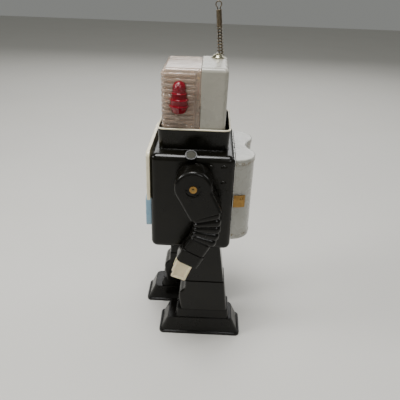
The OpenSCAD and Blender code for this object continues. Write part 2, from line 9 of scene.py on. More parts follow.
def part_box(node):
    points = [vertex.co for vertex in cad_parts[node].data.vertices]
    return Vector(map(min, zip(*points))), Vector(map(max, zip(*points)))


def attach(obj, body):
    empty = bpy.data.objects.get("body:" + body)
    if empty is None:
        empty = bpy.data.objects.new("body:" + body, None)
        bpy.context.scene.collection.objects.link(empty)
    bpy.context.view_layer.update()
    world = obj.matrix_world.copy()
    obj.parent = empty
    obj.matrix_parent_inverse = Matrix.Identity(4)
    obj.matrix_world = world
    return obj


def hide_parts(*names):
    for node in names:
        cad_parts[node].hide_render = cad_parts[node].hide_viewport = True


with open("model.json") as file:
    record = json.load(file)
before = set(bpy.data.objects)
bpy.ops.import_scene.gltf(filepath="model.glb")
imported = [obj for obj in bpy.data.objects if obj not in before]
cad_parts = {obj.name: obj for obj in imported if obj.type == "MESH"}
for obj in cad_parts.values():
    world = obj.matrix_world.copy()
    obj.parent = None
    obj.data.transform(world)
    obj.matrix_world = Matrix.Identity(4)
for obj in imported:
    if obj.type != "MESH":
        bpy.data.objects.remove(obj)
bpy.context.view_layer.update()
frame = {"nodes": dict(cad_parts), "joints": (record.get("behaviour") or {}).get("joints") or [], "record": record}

bl_info = {
    "name": "Walking tin robot",
    "version": (1, 0, 0),
    "blender": (4, 5, 0),
    "location": "3D View > Sidebar > Robot",
    "description": "Models the pieces and finishes of a walking tin robot round its packed frame",
    "category": "Object",
}

MM = 0.001


# ---------------------------------------------------------------- places taken from the frame, in mm

def joint_named(name):
    return next(joint for joint in frame["joints"] if joint["name"] == name)


# The pieces are drawn with the crank shaft's axis at Y = 0 and are moved by SHIFT when they are finished.
SHIFT = Vector((0, joint_named("crank_turn")["pos_m"][1] / MM, 0))


def low(node):
    return Vector(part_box(node)[0]) / MM - SHIFT


def high(node):
    return Vector(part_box(node)[1]) / MM - SHIFT


def pivot_of(name):
    return Vector(joint_named(name)["pos_m"]) / MM - SHIFT


PANEL = 0.8
SIDE = high("body_shell").x
BACK = high("body_shell").y
FRONT = -BACK
FLOOR = low("body_shell").z
TOP = high("body_shell").z
HEAD_TOP = high("head_shell").z
HEAD_FOOT = low("head_shell").z
HEAD_SIDE = high("head_shell").x
SHOULDER = pivot_of("left_arm_swing")
ARM_IN = low("upper_arm_left").x
ARM_OUT = high("upper_arm_left").x
ARM_SWING = math.radians(joint_named("left_arm_swing")["range_deg"][1])
STRIDE = joint_named("stride")["range_m"][1] / MM
CASE_FRONT = low("tank_shell").y


# ---------------------------------------------------------------- modelling helpers, sizes in mm

def leave_edit():
    bpy.ops.object.mode_set(mode="OBJECT")


def start_clean():
    """Leaves edit mode and deselects everything."""
    if bpy.context.object and bpy.context.object.mode != "OBJECT":
        leave_edit()
    bpy.ops.object.select_all(action="DESELECT")


def take_up(piece):
    """Makes piece the only selected object and the active one."""
    start_clean()
    piece.select_set(True)
    bpy.context.view_layer.objects.active = piece


def christen(name):
    piece = bpy.context.object
    piece.name = name
    piece.data.name = name
    return piece


def settle(piece):
    """Moves the piece's place, turn and size into its mesh."""
    take_up(piece)
    bpy.ops.object.transform_apply(location=True, rotation=True, scale=True)


def block(name, lowest, highest):
    start_clean()
    lowest, highest = Vector(lowest), Vector(highest)
    bpy.ops.mesh.primitive_cube_add(size=1, location=(lowest + highest) / 2 * MM)
    piece = christen(name)
    piece.scale = (highest - lowest) * MM
    settle(piece)
    return piece


def rod(name, foot, axis, radius, length, sides=32):
    """A cylinder from its foot along an axis."""
    start_clean()
    axis = Vector(axis).normalized()
    bpy.ops.mesh.primitive_cylinder_add(
        vertices=sides, radius=radius * MM, depth=length * MM,
        location=(Vector(foot) + axis * length / 2) * MM,
        rotation=axis.to_track_quat("Z", "Y").to_euler())
    piece = christen(name)
    settle(piece)
    return piece


def chain(name, points):
    """Edges through points, grown from one vertex by extrusion. Leaves edit mode on."""
    start_clean()
    bpy.ops.mesh.primitive_plane_add(size=MM, location=Vector(points[0]) * MM)
    piece = christen(name)
    settle(piece)
    bpy.ops.object.mode_set(mode="EDIT")
    bpy.ops.mesh.select_mode(type="VERT")
    bpy.ops.mesh.select_all(action="SELECT")
    bpy.ops.mesh.merge(type="CENTER")
    for last, point in zip(points, points[1:]):
        step = (Vector(point) - Vector(last)) * MM
        bpy.ops.mesh.extrude_region_move(TRANSFORM_OT_translate={"value": step})
    bpy.ops.mesh.select_all(action="SELECT")
    return piece


def prism(name, outline, travel):
    """A closed outline filled and pushed along travel."""
    piece = chain(name, outline)
    bpy.ops.mesh.edge_face_add()
    bpy.ops.mesh.select_all(action="SELECT")
    bpy.ops.mesh.extrude_region_move(TRANSFORM_OT_translate={"value": Vector(travel) * MM})
    tidy_normals()
    leave_edit()
    return piece


def spin(centre, axis, turn, steps):
    """Spins what is selected by a right-handed turn in degrees, in edit mode."""
    bpy.ops.mesh.spin(
        steps=steps, angle=-math.radians(turn), center=Vector(centre) * MM, axis=Vector(axis))


def lathe(name, profile, centre, axis, turn, steps):
    """A profile spun by a turn in degrees about an axis through centre."""
    piece = chain(name, profile)
    spin(centre, axis, turn, steps)
    bpy.ops.mesh.select_all(action="SELECT")
    bpy.ops.mesh.remove_doubles(threshold=0.02 * MM)
    if turn < 360:
        pick(piece, "EDGE", lambda edge, middle, along: edge.is_boundary)
        bpy.ops.mesh.edge_face_add()
    tidy_normals()
    leave_edit()
    return piece


def pipe(name, points, radius, closed=False):
    """A round wire along points, as a mesh."""
    start_clean()
    curve = bpy.data.curves.new(name, "CURVE")
    curve.dimensions = "3D"
    curve.bevel_depth = radius * MM
    curve.bevel_resolution = 2
    curve.use_fill_caps = not closed
    line = curve.splines.new("POLY")
    line.points.add(len(points) - 1)
    for spot, point in zip(line.points, points):
        spot.co = (*(Vector(point) * MM), 1)
    line.use_cyclic_u = closed
    wire = bpy.data.objects.new(name, curve)
    bpy.context.collection.objects.link(wire)
    take_up(wire)
    bpy.ops.object.convert(target="MESH")
    return christen(name)


def tidy_normals():
    """Faces point outwards, in edit mode."""
    bpy.ops.mesh.select_all(action="SELECT")
    bpy.ops.mesh.normals_make_consistent(inside=False)


def edit(piece):
    take_up(piece)
    bpy.ops.object.mode_set(mode="EDIT")
    bpy.ops.mesh.select_all(action="DESELECT")


def pick(piece, kind, test):
    """Selects the faces or edges that pass a test of their place and direction, in edit mode.
    A face is tested by its middle and normal, an edge by its middle and direction."""
    bpy.ops.mesh.select_all(action="DESELECT")
    bpy.ops.mesh.select_mode(type=kind)
    mesh = bmesh.from_edit_mesh(piece.data)
    if kind == "FACE":
        for face in mesh.faces:
            face.select_set(bool(test(face, face.calc_center_median() / MM, face.normal)))
    else:
        for edge in mesh.edges:
            ends = [vertex.co for vertex in edge.verts]
            middle = (ends[0] + ends[1]) / 2 / MM
            edge.select_set(bool(test(edge, middle, (ends[1] - ends[0]).normalized())))
    mesh.select_flush_mode()
    bmesh.update_edit_mesh(piece.data)


def soften(piece, width, segments=3, test=None):
    """Bevels the sharp edges that pass a test."""
    edit(piece)
    pick(piece, "EDGE", lambda edge, middle, along: (
        len(edge.link_faces) == 2 and edge.calc_face_angle() > math.radians(25)
        and (test is None or test(middle, along))))
    bpy.ops.mesh.bevel(
        offset=width * MM, offset_type="OFFSET", segments=segments, profile=0.5, affect="EDGES",
        clamp_overlap=True)
    leave_edit()


def slice_off(piece, point, normal, fill=False):
    """Cuts away what lies on the normal's side of a plane."""
    edit(piece)
    bpy.ops.mesh.select_all(action="SELECT")
    bpy.ops.mesh.bisect(
        plane_co=Vector(point) * MM, plane_no=Vector(normal), clear_outer=True, use_fill=fill)
    leave_edit()


def score(piece, point, normal):
    """Cuts a line of edges round the piece where a plane crosses it."""
    edit(piece)
    bpy.ops.mesh.select_all(action="SELECT")
    bpy.ops.mesh.bisect(plane_co=Vector(point) * MM, plane_no=Vector(normal))
    leave_edit()


def modify(piece, kind, **settings):
    """Adds a modifier and applies it."""
    take_up(piece)
    modifier = piece.modifiers.new(kind.title(), kind)
    for setting, value in settings.items():
        setattr(modifier, setting, value)
    bpy.ops.object.modifier_apply(modifier=modifier.name)


def thicken(piece, wall):
    """Gives an open skin its wall, inwards."""
    modify(piece, "SOLIDIFY", thickness=wall * MM, offset=-1, use_even_offset=True)


def carve(piece, *cutters):
    for cutter in cutters:
        modify(piece, "BOOLEAN", operation="DIFFERENCE", object=cutter, solver="EXACT")
        bpy.data.objects.remove(cutter)


def weld(name, pieces):
    """Joins pieces into one object of separate shells."""
    take_up(pieces[0])
    for piece in pieces[1:]:
        piece.select_set(True)
    bpy.ops.object.join()
    return christen(name)


def copy_of(piece, name):
    take_up(piece)
    bpy.ops.object.duplicate(linked=False)
    return christen(name)


def mirrored(piece, name):
    """A copy for the robot's other side, with its faces turned the right way out again."""
    twin = copy_of(piece, name)
    twin.scale.x = -1
    settle(twin)
    bpy.ops.object.mode_set(mode="EDIT")
    tidy_normals()
    leave_edit()
    return twin


def placed_on_right_arm(piece):
    """Swings a mirrored arm piece to the back, as the right arm rests."""
    about = Matrix.Translation(Vector((0, SHOULDER.y, SHOULDER.z)) * MM)
    piece.data.transform(about @ Matrix.Rotation(ARM_SWING, 4, "X") @ about.inverted())
    return piece


def placed_on_right_leg(piece):
    piece.data.transform(Matrix.Translation((0, -STRIDE * MM, 0)))
    return piece


def hand_over(piece, body, slot_name, stands_for=(), angle=32, finish=None):
    """Moves the finished piece into place, shades it, gives it its finish and hangs it on its body.
    The finish is the slot's own unless another is named."""
    piece.location = SHIFT * MM
    settle(piece)
    bpy.ops.object.shade_smooth_by_angle(angle=math.radians(angle))
    modify(piece, "WEIGHTED_NORMAL", keep_sharp=True, weight=50)
    piece.data.materials.clear()
    piece.data.materials.append(FINISHES[finish or slot_name])
    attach(piece, body)
    if stands_for:
        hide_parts(*stands_for)


def both_sides(piece, stem, bodies, slot_name, node, place, **more):
    """Hands over a left piece and its mirrored twin, which stand for a pair of nodes if one is named."""
    twin = place(mirrored(piece, f"{stem}_right_skin"))
    hand_over(piece, bodies[0], slot_name, [f"{node}_left"] if node else (), **more)
    hand_over(twin, bodies[1], slot_name, [f"{node}_right"] if node else (), **more)


def arc(centre, radius, start, end, steps):
    """Points of an arc in a plane, as pairs, with its angles in degrees."""
    angles = [math.radians(start + (end - start) * i / steps) for i in range(steps + 1)]
    return [(centre[0] + radius * math.cos(a), centre[1] + radius * math.sin(a)) for a in angles]


def rounded_loop(width, depth, radius, z, steps=6):
    """Points round a level rectangle with rounded corners, centred on the Z axis."""
    points = []
    for quarter, (sx, sy) in enumerate(((1, 1), (-1, 1), (-1, -1), (1, -1))):
        corner = (sx * (width / 2 - radius), sy * (depth / 2 - radius))
        points += arc(corner, radius, 90 * quarter, 90 * quarter + 90, steps)
    return [(x, y, z) for x, y in points]


# ---------------------------------------------------------------- finishes

class Finish:
    """A Principled material and the nodes that vary it, all on Object coordinates."""

    def __init__(self, name, colour, roughness, metallic=0.0, **constants):
        self.material = bpy.data.materials.new(name)
        self.material.use_nodes = True
        self.material.diffuse_color = (*colour, 1)
        self.nodes = self.material.node_tree.nodes
        self.links = self.material.node_tree.links
        self.shader = self.nodes["Principled BSDF"]
        self.colour = colour
        self.set("Base Color", (*colour, 1))
        self.set("Roughness", roughness)
        self.set("Metallic", metallic)
        for socket, value in constants.items():
            self.set(socket.replace("_", " "), value)
        self.place = self.nodes.new("ShaderNodeTexCoord").outputs["Object"]
        self.colour_out = None
        self.height_out = None

    def set(self, socket, value):
        self.shader.inputs[socket].default_value = value

    def noise(self, scale, detail, roughness=0.55, stretch=None):
        node = self.nodes.new("ShaderNodeTexNoise")
        node.inputs["Scale"].default_value = scale
        node.inputs["Detail"].default_value = detail
        node.inputs["Roughness"].default_value = roughness
        self.links.new(self.stretched(stretch), node.inputs["Vector"])
        return node.outputs["Fac"]

    def stretched(self, stretch=None, turn=(0, 0, 0)):
        """Object coordinates, turned and stretched."""
        if stretch is None and turn == (0, 0, 0):
            return self.place
        node = self.nodes.new("ShaderNodeMapping")
        node.inputs["Rotation"].default_value = turn
        node.inputs["Scale"].default_value = stretch or (1, 1, 1)
        self.links.new(self.place, node.inputs["Vector"])
        return node.outputs["Vector"]

    def ramp(self, value, low_end, high_end, low_value=0.0, high_value=1.0):
        """Carries a value's range over to another range, and no further."""
        node = self.nodes.new("ShaderNodeMapRange")
        node.inputs["From Min"].default_value = low_end
        node.inputs["From Max"].default_value = high_end
        node.inputs["To Min"].default_value = low_value
        node.inputs["To Max"].default_value = high_value
        self.links.new(value, node.inputs["Value"])
        return node.outputs["Result"]

    def multiply(self, a, b):
        node = self.nodes.new("ShaderNodeMath")
        node.operation = "MULTIPLY"
        self.links.new(a, node.inputs[0])
        if hasattr(b, "node"):
            self.links.new(b, node.inputs[1])
        else:
            node.inputs[1].default_value = b
        return node.outputs[0]

    def blend_colour(self, mask, colour):
        """Lays a colour over what is there already, where the mask is 1."""
        node = self.nodes.new("ShaderNodeMix")
        node.data_type = "RGBA"
        if self.colour_out is None:
            node.inputs["A"].default_value = (*self.colour, 1)
        else:
            self.links.new(self.colour_out, node.inputs["A"])
        node.inputs["B"].default_value = (*colour, 1)
        self.links.new(mask, node.inputs["Factor"])
        self.colour_out = node.outputs["Result"]
        self.links.new(self.colour_out, self.shader.inputs["Base Color"])

    def vary_roughness(self, scale, smooth, rough):
        mottle = self.ramp(self.noise(scale, 5), 0.35, 0.68, smooth, rough)
        self.links.new(mottle, self.shader.inputs["Roughness"])

    def bump(self, height, strength, distance):
        """Adds a bump of a distance in mm."""
        node = self.nodes.new("ShaderNodeBump")
        node.inputs["Strength"].default_value = strength
        node.inputs["Distance"].default_value = distance * MM
        self.links.new(height, node.inputs["Height"])
        if self.height_out:
            self.links.new(self.height_out, node.inputs["Normal"])
        self.height_out = node.outputs["Normal"]
        self.links.new(self.height_out, self.shader.inputs["Normal"])

    def axis(self, letter):
        """One Object coordinate, in metres."""
        node = self.nodes.new("ShaderNodeSeparateXYZ")
        self.links.new(self.place, node.inputs["Vector"])
        return node.outputs[letter]

    def mottle(self, scale, detail, low_end, high_end, share, colour, roughness=0.55):
        """Clouds of another colour, which cover up to a share of what is there."""
        self.blend_colour(
            self.ramp(self.noise(scale, detail, roughness), low_end, high_end, 0, share), colour)

    def specks(self, scale, threshold, colour):
        """Small chips and specks of another colour."""
        self.mottle(scale, 6, threshold, threshold + 0.02, 1, colour, 0.7)

    def grain(self, scale, detail, strength, distance):
        self.bump(self.noise(scale, detail), strength, distance)


def black_tin_finish(colours):
    finish = Finish("black_tin", tuple(colours.black), 0.14, Specular_IOR_Level=0.25)
    finish.mottle(45, 5, 0.4, 0.75, 0.6, (0.008, 0.007, 0.004))
    finish.specks(420, 0.74, (0.11, 0.085, 0.045))
    finish.vary_roughness(70, 0.12, 0.30)
    finish.grain(22, 2, 0.25, 0.5)
    finish.grain(900, 2, 0.05, 0.05)
    return finish.material


def black_plastic_finish(colours):
    finish = Finish("black_plastic", tuple(colours.black_plastic), 0.18, Specular_IOR_Level=0.22)
    finish.mottle(60, 5, 0.45, 0.8, 0.7, (0.008, 0.007, 0.005))
    finish.vary_roughness(110, 0.13, 0.32)
    finish.grain(40, 2, 0.2, 0.25)
    finish.grain(1500, 2, 0.06, 0.04)
    return finish.material


def cream_enamel_finish(colours):
    finish = Finish("cream_enamel", tuple(colours.cream), 0.28, Coat_Weight=0.35, Coat_Roughness=0.12)
    finish.mottle(35, 5, 0.45, 0.8, 0.6, (0.60, 0.52, 0.35))
    finish.specks(380, 0.72, (0.20, 0.14, 0.07))
    finish.vary_roughness(90, 0.2, 0.4)
    finish.grain(800, 2, 0.05, 0.05)
    return finish.material


def grey_enamel_finish(colours):
    finish = Finish("grey_enamel", tuple(colours.grey), 0.3, Coat_Weight=0.3, Coat_Roughness=0.15)
    finish.mottle(40, 5, 0.42, 0.8, 0.6, (0.26, 0.245, 0.20))
    finish.specks(520, 0.76, (0.12, 0.10, 0.06))
    finish.vary_roughness(80, 0.22, 0.4)
    finish.grain(26, 2, 0.2, 0.4)
    finish.grain(900, 2, 0.06, 0.05)
    return finish.material


def pale_enamel_finish(colours):
    """Pale enamel, worn to brown metal where the two rolled seams rub."""
    finish = Finish("pale_enamel", tuple(colours.case), 0.25, Coat_Weight=0.4, Coat_Roughness=0.1)
    finish.mottle(30, 5, 0.45, 0.8, 0.5, (0.25, 0.24, 0.20))
    height = finish.axis("Z")
    for seam in (high("tank_shell").z, low("tank_shell").z):
        near = finish.ramp(height, (seam - 2.2) * MM, (seam - 0.2) * MM)
        below = finish.ramp(height, (seam + 0.4) * MM, (seam + 2.6) * MM, 1, 0)
        worn = finish.ramp(finish.noise(260, 6, 0.7), 0.47, 0.56)
        finish.blend_colour(finish.multiply(finish.multiply(near, below), worn), (0.17, 0.13, 0.075))
    finish.specks(330, 0.73, (0.22, 0.18, 0.12))
    finish.vary_roughness(80, 0.16, 0.38)
    finish.grain(30, 2, 0.2, 0.4)
    finish.grain(900, 2, 0.05, 0.05)
    return finish.material


def clear_plastic_finish(colours):
    finish = Finish(
        "clear_plastic", tuple(colours.visor), 0.09, IOR=1.47, Transmission_Weight=0.7)
    finish.mottle(50, 4, 0.4, 0.8, 0.7, (0.40, 0.28, 0.20))
    finish.vary_roughness(160, 0.06, 0.16)
    finish.grain(70, 2, 0.15, 0.2)
    return finish.material


def red_lens_finish(colours):
    """Red plastic with a fine diamond pattern moulded in."""
    finish = Finish(
        "red_lens", tuple(colours.red), 0.16, IOR=1.5, Transmission_Weight=0.15)
    finish.mottle(120, 4, 0.4, 0.75, 0.6, (0.15, 0.003, 0.006))
    lines = []
    for turn in (math.radians(45), math.radians(-45)):
        wave = finish.nodes.new("ShaderNodeTexWave")
        wave.bands_direction = "Z"
        wave.inputs["Scale"].default_value = 150
        finish.links.new(finish.stretched(turn=(turn, 0, 0)), wave.inputs["Vector"])
        lines.append(wave.outputs["Fac"])
    dome = finish.ramp(finish.axis("Z"), (high("ear_lamps").z - 9) * MM, (high("ear_lamps").z - 7) * MM)
    diamonds = finish.multiply(finish.multiply(lines[0], lines[1]), dome)
    finish.bump(diamonds, 0.6, 0.5)
    return finish.material


def blue_plastic_finish(colours):
    finish = Finish("blue_plastic", tuple(colours.bezel), 0.3, Coat_Weight=0.15)
    finish.mottle(60, 5, 0.45, 0.8, 0.6, (0.30, 0.42, 0.47))
    finish.vary_roughness(120, 0.22, 0.42)
    finish.grain(1100, 2, 0.08, 0.04)
    return finish.material


def cream_plastic_finish(colours):
    finish = Finish(
        "cream_plastic", tuple(colours.hand), 0.42, Subsurface_Weight=0.15, Subsurface_Scale=0.002)
    finish.mottle(90, 5, 0.42, 0.75, 0.7, (0.60, 0.50, 0.31))
    finish.mottle(240, 6, 0.66, 0.72, 0.6, (0.42, 0.33, 0.18), 0.7)
    finish.vary_roughness(150, 0.34, 0.55)
    finish.grain(700, 3, 0.12, 0.06)
    return finish.material


def metal_finish(name, colour, tarnish, roughness, grain=None):
    finish = Finish(name, colour, roughness, metallic=1.0)
    finish.mottle(180, 6, 0.42, 0.72, 0.85, tarnish, 0.65)
    finish.vary_roughness(240, roughness * 0.7, min(0.8, roughness * 1.7))
    finish.bump(finish.noise(900, 3, stretch=grain), 0.12, 0.05)
    return finish.material


def rubber_finish():
    finish = Finish("roller_rubber", (0.035, 0.032, 0.029), 0.7)
    finish.mottle(300, 6, 0.5, 0.75, 0.8, (0.11, 0.10, 0.085))
    finish.grain(1600, 3, 0.3, 0.1)
    return finish.material


# The knob's black plastic face, painted a lighter olive as a painted highlight where the face catches the overhead
# light.
def painted_highlight_face_finish():
    finish = Finish("painted_highlight_face", (0.020, 0.020, 0.012), 0.5, Specular_IOR_Level=0.1)
    finish.mottle(300, 6, 0.45, 0.7, 0.8, (0.04, 0.037, 0.026))
    finish.vary_roughness(300, 0.35, 0.55)
    finish.grain(1200, 3, 0.15, 0.06)
    return finish.material


def lamp_glass_finish():
    finish = Finish("lamp_glass", (0.95, 0.95, 0.9), 0.03, IOR=1.45, Transmission_Weight=0.95)
    finish.vary_roughness(300, 0.02, 0.08)
    return finish.material


def cell_finish():
    """A plain dark cell jacket with a bright band near its top."""
    finish = Finish("cell_jacket", (0.05, 0.06, 0.085), 0.3, Coat_Weight=0.3)
    top = high("batteries").z
    band = finish.ramp(finish.axis("Z"), (top - 16) * MM, (top - 15.6) * MM)
    finish.blend_colour(band, (0.55, 0.42, 0.20))
    finish.mottle(200, 6, 0.6, 0.7, 0.5, (0.14, 0.12, 0.10))
    finish.vary_roughness(120, 0.22, 0.45)
    return finish.material


def board_finish():
    finish = Finish("brown_board", (0.16, 0.09, 0.045), 0.6)
    finish.blend_colour(finish.ramp(finish.noise(400, 6, stretch=(1, 4, 1)), 0.4, 0.7), (0.09, 0.05, 0.025))
    finish.grain(700, 3, 0.2, 0.1)
    return finish.material


def star_drum_finish():
    """A printed night sky: pale stars on deep blue."""
    finish = Finish("printed_drum", (0.012, 0.045, 0.16), 0.35, Coat_Weight=0.2)
    finish.mottle(70, 4, 0.45, 0.7, 0.8, (0.07, 0.02, 0.15))
    stars = finish.nodes.new("ShaderNodeTexVoronoi")
    stars.inputs["Scale"].default_value = 230
    finish.links.new(finish.place, stars.inputs["Vector"])
    finish.blend_colour(finish.ramp(stars.outputs["Distance"], 0.13, 0.18, 1, 0), (0.9, 0.85, 0.6))
    moons = finish.nodes.new("ShaderNodeTexVoronoi")
    moons.inputs["Scale"].default_value = 45
    finish.links.new(finish.place, moons.inputs["Vector"])
    finish.blend_colour(finish.ramp(moons.outputs["Distance"], 0.18, 0.2, 1, 0), (0.75, 0.30, 0.08))
    return finish.material


def eye_sector_finish():
    """Painted sectors that turn behind the eye windows."""
    finish = Finish("eye_paint", (0.62, 0.07, 0.02), 0.3, Coat_Weight=0.3)
    centre = (pivot_of("eye_turn") + SHIFT) * MM
    gradient = finish.nodes.new("ShaderNodeTexGradient")
    gradient.gradient_type = "RADIAL"
    turned = finish.nodes.new("ShaderNodeMapping")
    turned.vector_type = "TEXTURE"
    turned.inputs["Location"].default_value = centre
    turned.inputs["Rotation"].default_value = (math.radians(90), 0, 0)
    finish.links.new(finish.place, turned.inputs["Vector"])
    finish.links.new(turned.outputs["Vector"], gradient.inputs["Vector"])
    yellow, black = (0.75, 0.55, 0.08), (0.05, 0.05, 0.05)
    for start, colour in ((0.125, yellow), (0.375, black), (0.625, yellow), (0.875, black)):
        after = finish.ramp(gradient.outputs["Fac"], start, start + 0.002)
        before = finish.ramp(gradient.outputs["Fac"], start + 0.125, start + 0.127, 1, 0)
        finish.blend_colour(finish.multiply(after, before), colour)
    finish.vary_roughness(200, 0.22, 0.4)
    return finish.material


def make_finishes(colours):
    """Every finish by the name of its slot."""
    return {
        "black_tin": black_tin_finish(colours),
        "black_plastic": black_plastic_finish(colours),
        "cream_enamel": cream_enamel_finish(colours),
        "grey_enamel": grey_enamel_finish(colours),
        "pale_enamel": pale_enamel_finish(colours),
        "clear_plastic": clear_plastic_finish(colours),
        "red_lens": red_lens_finish(colours),
        "blue_plastic": blue_plastic_finish(colours),
        "cream_plastic": cream_plastic_finish(colours),
        "brass": metal_finish("brass", (0.32, 0.19, 0.06), (0.15, 0.085, 0.03), 0.18),
        "rivet_brass": metal_finish("rivet_brass", (0.20, 0.145, 0.06), (0.10, 0.07, 0.03), 0.14),
        "dull_dome": metal_finish("dull_dome", (0.36, 0.34, 0.25), (0.20, 0.18, 0.12), 0.22),
        "spring_steel": metal_finish("spring_steel", (0.13, 0.105, 0.07), (0.05, 0.04, 0.025), 0.34),
        "zinc_steel": metal_finish("zinc_steel", (0.60, 0.60, 0.58), (0.34, 0.33, 0.30), 0.3, (1, 9, 1)),
        "lamp_glass": lamp_glass_finish(),
        "cell_jacket": cell_finish(),
        "brown_board": board_finish(),
        "roller_rubber": rubber_finish(),
        "printed_drum": star_drum_finish(),
        "eye_paint": eye_sector_finish(),
        # Painted highlight on the knob's face.
        "painted_highlight_face": painted_highlight_face_finish(),
    }


FINISHES = {}


# ---------------------------------------------------------------- sizes and colours

def length(name, description, default):
    """A length property, in metres, with its default given in mm."""
    return bpy.props.FloatProperty(
        name=name, description=description, default=default * MM, min=0, precision=4,
        subtype="DISTANCE", unit="LENGTH")


def colour(name, description, default):
    return bpy.props.FloatVectorProperty(
        name=name, description=description, default=default, size=3, min=0, max=1, subtype="COLOR")


class RobotColours(bpy.types.PropertyGroup):
    black: colour("Black tin", "Enamel of the chest, collar and legs", (0.0035, 0.0032, 0.0020))
    black_plastic: colour("Black plastic", "Plastic of the arms, feet and knob", (0.0035, 0.0032, 0.0024))
    cream: colour("Cream enamel", "Enamel of the front panel", (0.72, 0.65, 0.46))
    grey: colour("Grey enamel", "Enamel of the back of the head", (0.33, 0.315, 0.265))
    case: colour("Battery case", "Enamel of the twin battery case", (0.32, 0.315, 0.28))
    visor: colour("Visor", "Tint of the clear plastic", (0.80, 0.66, 0.54))
    red: colour("Beacons", "Plastic of the ear beacons", (0.19, 0.002, 0.011))
    bezel: colour("Bezel", "Plastic round the screen", (0.22, 0.38, 0.50))
    hand: colour("Hands", "Plastic of the hands", (0.78, 0.69, 0.46))


class RobotChest(bpy.types.PropertyGroup):
    corner: length("Corner radius", "Radius of the chest's rolled corners", 6)
    wall: length("Wall", "Thickness of the pressed tin", 1)
    rim: length("Rolled rim", "Radius of the bead along the panel and the collar", 0.8)
    louvre: length("Louvre width", "Width of one pressed louvre", 5.6)


class RobotHead(bpy.types.PropertyGroup):
    corner: length("Corner radius", "Radius of the head's corners", 4)
    rib_pitch: length("Rib pitch", "Height from one visor rib to the next", 4.45)
    rib_depth: length("Rib depth", "How far a visor rib stands out", 1.1)
    band: length("Plain band", "Width of the smooth band at the back of the visor", 4.2)
    beacon: length("Beacon radius", "Radius of an ear beacon's dome", 5.8)
    coil_wire: length("Coil wire", "Radius of the aerial's wire", 0.5)


class RobotArm(bpy.types.PropertyGroup):
    shoulder: length("Shoulder radius", "Radius of the shoulder drum", 16.5)
    edge: length("Edge radius", "Radius of the arm's moulded edges", 3)
    cuff: length("Cuff width", "Width of the upper arm at the elbow", 29)
    sleeve: length("Forearm width", "Width of the forearm", 22.4)
    plate: length("Claw wall", "Thickness of the claw's plates", 2)


class RobotLeg(bpy.types.PropertyGroup):
    edge: length("Leg edge radius", "Radius of the leg's upright edges", 2.4)
    foot_corner: length("Foot corner radius", "Radius of the foot's corners in plan", 5)
    rim: length("Foot rim", "Height of the rim along the floor", 3)
    ledge: length("Ledge height", "Height of the foot's ledge above the floor", 20)


class RobotCase(bpy.types.PropertyGroup):
    radius: length("Lobe radius", "Radius of each half of the battery case", 17.7)
    spacing: length("Lobe offset", "Distance of each half from the middle", 22.5)
    waist: length("Waist radius", "Radius of the hollow between the halves", 20)
    seam: length("Seam bead", "Radius of the rolled seams", 0.7)


def mm_of(group):
    """The lengths of a property group, in mm, by name."""
    return {name: getattr(group, name) / MM for name in group.__annotations__}


# ---------------------------------------------------------------- pieces

class ROBOT_OT_chest(bpy.types.Operator):
    """Model the black chest shell with its openings and pressed louvres"""
    bl_idname = "robot.chest"
    bl_label = "Chest shell"

    LOUVRE_COLUMNS = (16.5, 28)
    LOUVRE_ROWS = (184, 199)

    def execute(self, context):
        size = mm_of(context.scene.robot_chest)
        shell = block("chest_skin", (-SIDE, FRONT, FLOOR), (SIDE, BACK, TOP))
        soften(shell, size["corner"], 6)
        thicken(shell, size["wall"])
        knob = pivot_of("switch_turn")
        window = (high("screen_window") - low("screen_window")) / 2
        middle = (high("screen_window") + low("screen_window")) / 2
        carve(
            shell,
            block("neck_cut", (-26.5, -22, TOP - 6), (26.5, 22, TOP + 6)),
            block("floor_cut", (-36.25, -29, FLOOR - 6), (36.25, 29, FLOOR + 6)),
            block("case_cut", (-41, BACK - 6, 121.5), (41, BACK + 6, TOP - 2.5)),
            *(rod("bush_cut", (x - 6, SHOULDER.y, SHOULDER.z), (1, 0, 0), 5.1, 12) for x in (SIDE, -SIDE)),
            block(
                "screen_cut", (-window.x, FRONT - 4, middle.z - window.z),
                (window.x, FRONT + 4, middle.z + window.z)),
            rod("knob_cut", knob, joint_named("switch_turn")["axis"], 2.6, 12))
        hand_over(shell, "torso", "black_tin", ["body_shell"])
        self.press_louvres(size)
        return {"FINISHED"}

    def press_louvres(self, size):
        hoods = [self.hood(side, y, z, size["louvre"])
                 for side in (-1, 1) for y in self.LOUVRE_COLUMNS for z in self.LOUVRE_ROWS]
        louvres = weld("chest_louvres", hoods)
        hand_over(louvres, "torso", "black_tin", angle=50)

    def hood(self, side, y, z, width):
        """Half a flattened dome, open below, with a wall."""
        start_clean()
        bpy.ops.mesh.primitive_uv_sphere_add(
            segments=24, ring_count=12, radius=1, location=Vector((side * SIDE, y, z)) * MM)
        dome = christen("hood")
        dome.scale = Vector((1.3, width / 2, 2.6)) * MM
        settle(dome)
        slice_off(dome, (0, 0, z), (0, 0, -1))
        slice_off(dome, (side * (SIDE - 0.05), 0, 0), (-side, 0, 0))
        thicken(dome, 0.45)
        return dome


